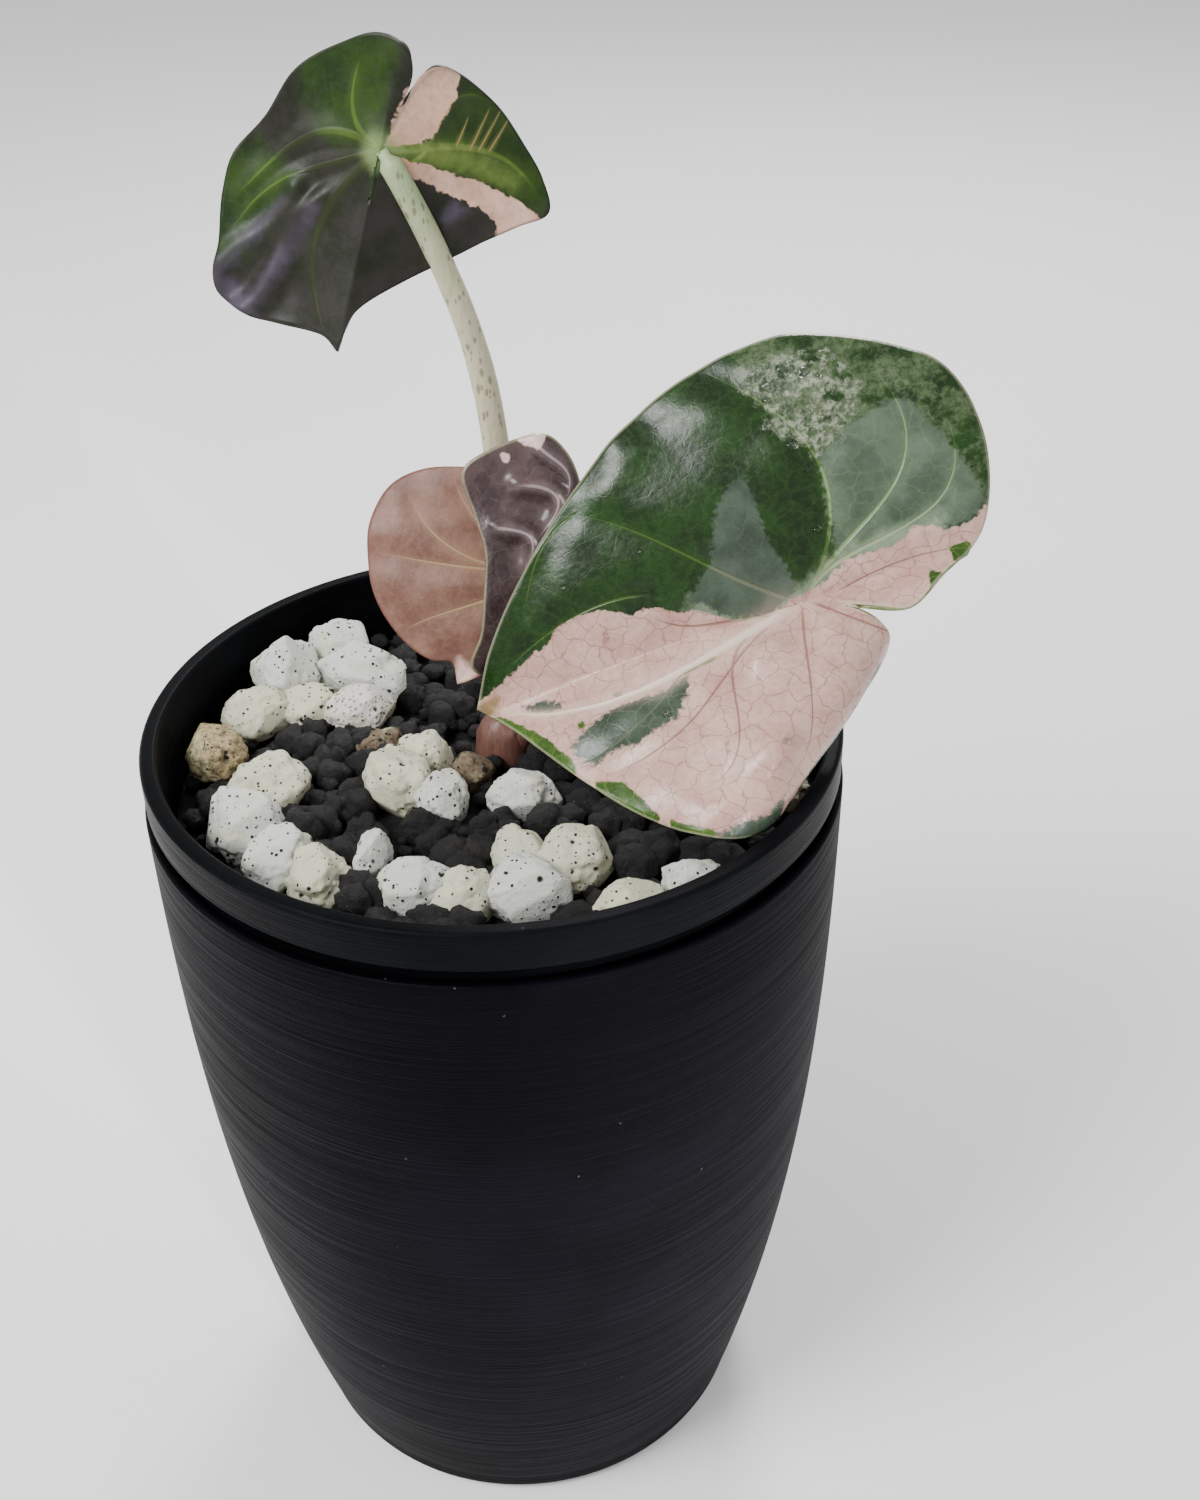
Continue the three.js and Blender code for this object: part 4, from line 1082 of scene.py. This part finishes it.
pinkZone = zone("pink", (206, 170, 158), (188, 148, 137), (128, 84, 74), size=0.8)
leafLooks = {  # each blade's face, then its back
    "large": {
        "largeLeafFace": look((8, 30, 2), (20, 52, 6), (62, 92, 32), zones=[
            zone("smoke", (44, 62, 33), (76, 91, 62), (120, 146, 96), patchy=0.25, waver=1.2, soft=0.6,
                 fine=True),
            # Wet patch: the pale colour is a painted reflection of the water film's glints, the dark green
            # is the leaf under it.
            zone("wetPatchGlints", (150, 156, 134), (60, 76, 50), (150, 162, 130), patchy=0.45, waver=1.4, soft=0.8,
                 fine=True, wet=True, strength=0.85),
            zone("silver", (62, 76, 61), (86, 101, 84), (122, 150, 98), waver=0.8, size=1.2, soft=0.5),
            zone("bloom", (130, 150, 126), (150, 166, 140), (170, 176, 140), waver=0.8, soft=1.2,
                 strength=0.6),
            pinkZone,
            # Dark grey: the blade's own marks, plus painted shade on the curled lobe where it turns away.
            zone("slateAndShade", (46, 57, 48), (68, 82, 70), (100, 106, 84), size=1.3, waver=0.7, soft=0.4),
            zone("green", (30, 58, 6), (56, 88, 18), (100, 120, 50), waver=0.3),
            zone("tan", (130, 102, 66), (146, 116, 84), (170, 130, 90), waver=0.2, soft=0.6)]),
        "largeLeafBack": look((84, 76, 76), (72, 88, 60), (150, 130, 120), side=-1.0, zones=[
            zone("pink", (200, 166, 168), (184, 146, 150), (190, 150, 146))]),
    },
    "upper": {
        "upperLeafFace": look((8, 30, 3), (22, 54, 8), (84, 118, 48), zones=[
            zone("olive", (26, 54, 6), (42, 74, 14), (110, 140, 60), soft=1.5), pinkZone]),
        "upperLeafBack": look(
            (26, 30, 16), (42, 39, 36), (40, 48, 22), side=-1.0, netShare=0.1, pinkNet=0.1, veinGlow=0.3,
            fleck=screen(48, 44, 48), rim=screen(40, 38, 36), pale=screen(140, 130, 78), veinWidth=1.0,
            bump=0.25, specular=0.2, roughness=0.4, zones=[
                zone("olive", (20, 42, 5), (40, 62, 12), (70, 94, 32), soft=2.0, waver=1.2, size=0.2),
                # Lilac streaks on the pleat ridges are painted highlight, not the blade's own colour.
                zone("lilacRidgeHighlight", (98, 86, 108), (66, 58, 74), (80, 70, 88), soft=1.1, strength=0.5),
                zone("lime", (104, 126, 54), (70, 94, 32), (130, 150, 80), soft=1.5, waver=0.8,
                     strength=0.8),
                zone("pink", (208, 172, 152), (190, 150, 130), (186, 146, 118)),
                zone("hub", (126, 150, 96), (104, 132, 76), (132, 150, 96), soft=1.6, waver=0.4,
                     strength=0.8)]),
    },
    "small": {
        "smallLeafFace": look(
            (130, 95, 82), (106, 73, 62), (160, 132, 98), netShare=0.2, netScale=0.6, veinGlow=0.3,
            fleck=screen(158, 124, 110), rim=screen(110, 50, 54), specular=0.22, roughness=0.4, zones=[
                zone("pink", (226, 194, 182), (210, 174, 162), (226, 200, 190), soft=0.9, waver=0.3)]),
        "smallLeafBack": look(
            (54, 40, 42), (86, 70, 68), (164, 144, 146), side=-1.0, netShare=0.1, veinGlow=0.3,
            fleck=screen(92, 76, 80), rim=screen(150, 150, 112), rimShare=0.6, veinWidth=0.9, zones=[
                zone("edging", (104, 92, 92), (56, 38, 54), (120, 110, 110), soft=0.6, wet=True),
                zone("pink", (236, 208, 200), (224, 190, 184), (226, 200, 190), waver=0.3)]),
    },
}
rimColours = {"large": ((150, 150, 108), (96, 112, 62)), "upper": ((50, 48, 38), (36, 40, 28)),
              "small": ((140, 130, 108), (92, 72, 80))}


def makeLeaves():
    for name, leaf in leaves.items():
        finishes = [leafFinish(label, leaf, traits) for label, traits in leafLooks[name].items()]
        finishes.append(marginFinish(name + "LeafMargin", *rimColours[name]))
        makeLeaf(name, leaf, finishes)


# Each drop's flat place on the large leaf, then half its length and half its width.
drops = {"height": 0.5, "under": 0.3, "waver": 0.35, "seed": 8, "places": [
    (21.5, 11.5, 0.7, 0.5), (-4.5, -20.5, 0.9, 0.7), (-5.5, -17, 0.5, 0.4), (-4.5, -9, 0.5, 0.45),
    (8, 20.5, 0.6, 0.45), (-4.6, -29.4, 1.5, 1.0), (-6.6, -30.6, 1.3, 0.9), (-8.6, -29.4, 0.9, 0.7),
    (-3.2, -27.4, 0.6, 0.5), (-10.4, -28.2, 0.5, 0.4), (18.6, -14, 0.4, 0.3), (29.5, -13, 0.35, 0.3)]}


def waterFinish():
    material, tree, shader = newMaterial("water")
    ripple = speckle(tree, inMillimetres(tree), 0.8, 2.0)
    wire(tree, shader, normal=bump(tree, ripple, 0.2, 0.0002), baseColor=(0.95, 1.0, 0.95, 1.0), ior=1.33,
         roughness=spread(tree, ripple, 0.3, 0.7, 0.01, 0.05), transmission=1.0)
    return material


def makeDrops():
    leaf = leaves["large"]
    margin = np.array([point[:2] for point in smoothPath([(a, b, 0) for a, b in leaf["marginLeft"]], 80)])
    draw = random.Random(drops["seed"])
    bm = bmesh.new()
    for a, b, length, width in drops["places"]:
        grown = bmesh.ops.create_icosphere(bm, subdivisions=4, radius=1)["verts"]
        shift = Vector((draw.uniform(0, 40), 0, 0))
        swell = np.array([1 + drops["waver"] * noise.noise(vert.co * 1.3 + shift) for vert in grown])
        around = np.array([[vert.co.x * length, vert.co.y * width] for vert in grown])
        lift = np.array([vert.co.z for vert in grown])
        lift = drops["height"] * np.where(lift > 0, lift, lift * drops["under"])
        ground = reliefOf(np.array([[a, b]]), leaf, margin)[0][0] + leaf["thickness"] / 2
        placed = placeOnLeaf(leaf, around * swell[:, None] + (a, b), ground + lift)
        for vert, spot in zip(grown, placed):
            vert.co = spot
    finishPiece(bm, "water_drops", [waterFinish()], None)
    print("drops done")


def makeFloor():
    bm = bmesh.new()
    bmesh.ops.create_grid(bm, x_segments=8, y_segments=8, size=studio["floor"])
    mesh = bpy.data.meshes.new("floor")
    bm.to_mesh(mesh)
    bm.free()
    floor = bpy.data.objects.new("floor", mesh)
    scene.collection.objects.link(floor)
    material, tree, shader = newMaterial("paleFloor")
    cloud = speckle(tree, inMillimetres(tree), 0.01, 2.0)
    wire(tree, shader, baseColor=blend(tree, cloud, (0.9, 0.9, 0.9, 1), (0.94, 0.94, 0.93, 1)),
         roughness=0.9, specular=0.1)
    mesh.materials.append(material)


makeCamera()
makeLights()
makeFloor()
makePots()
makeStones()
makeMix()
makeStalks()
makeLeaves()
makeDrops()
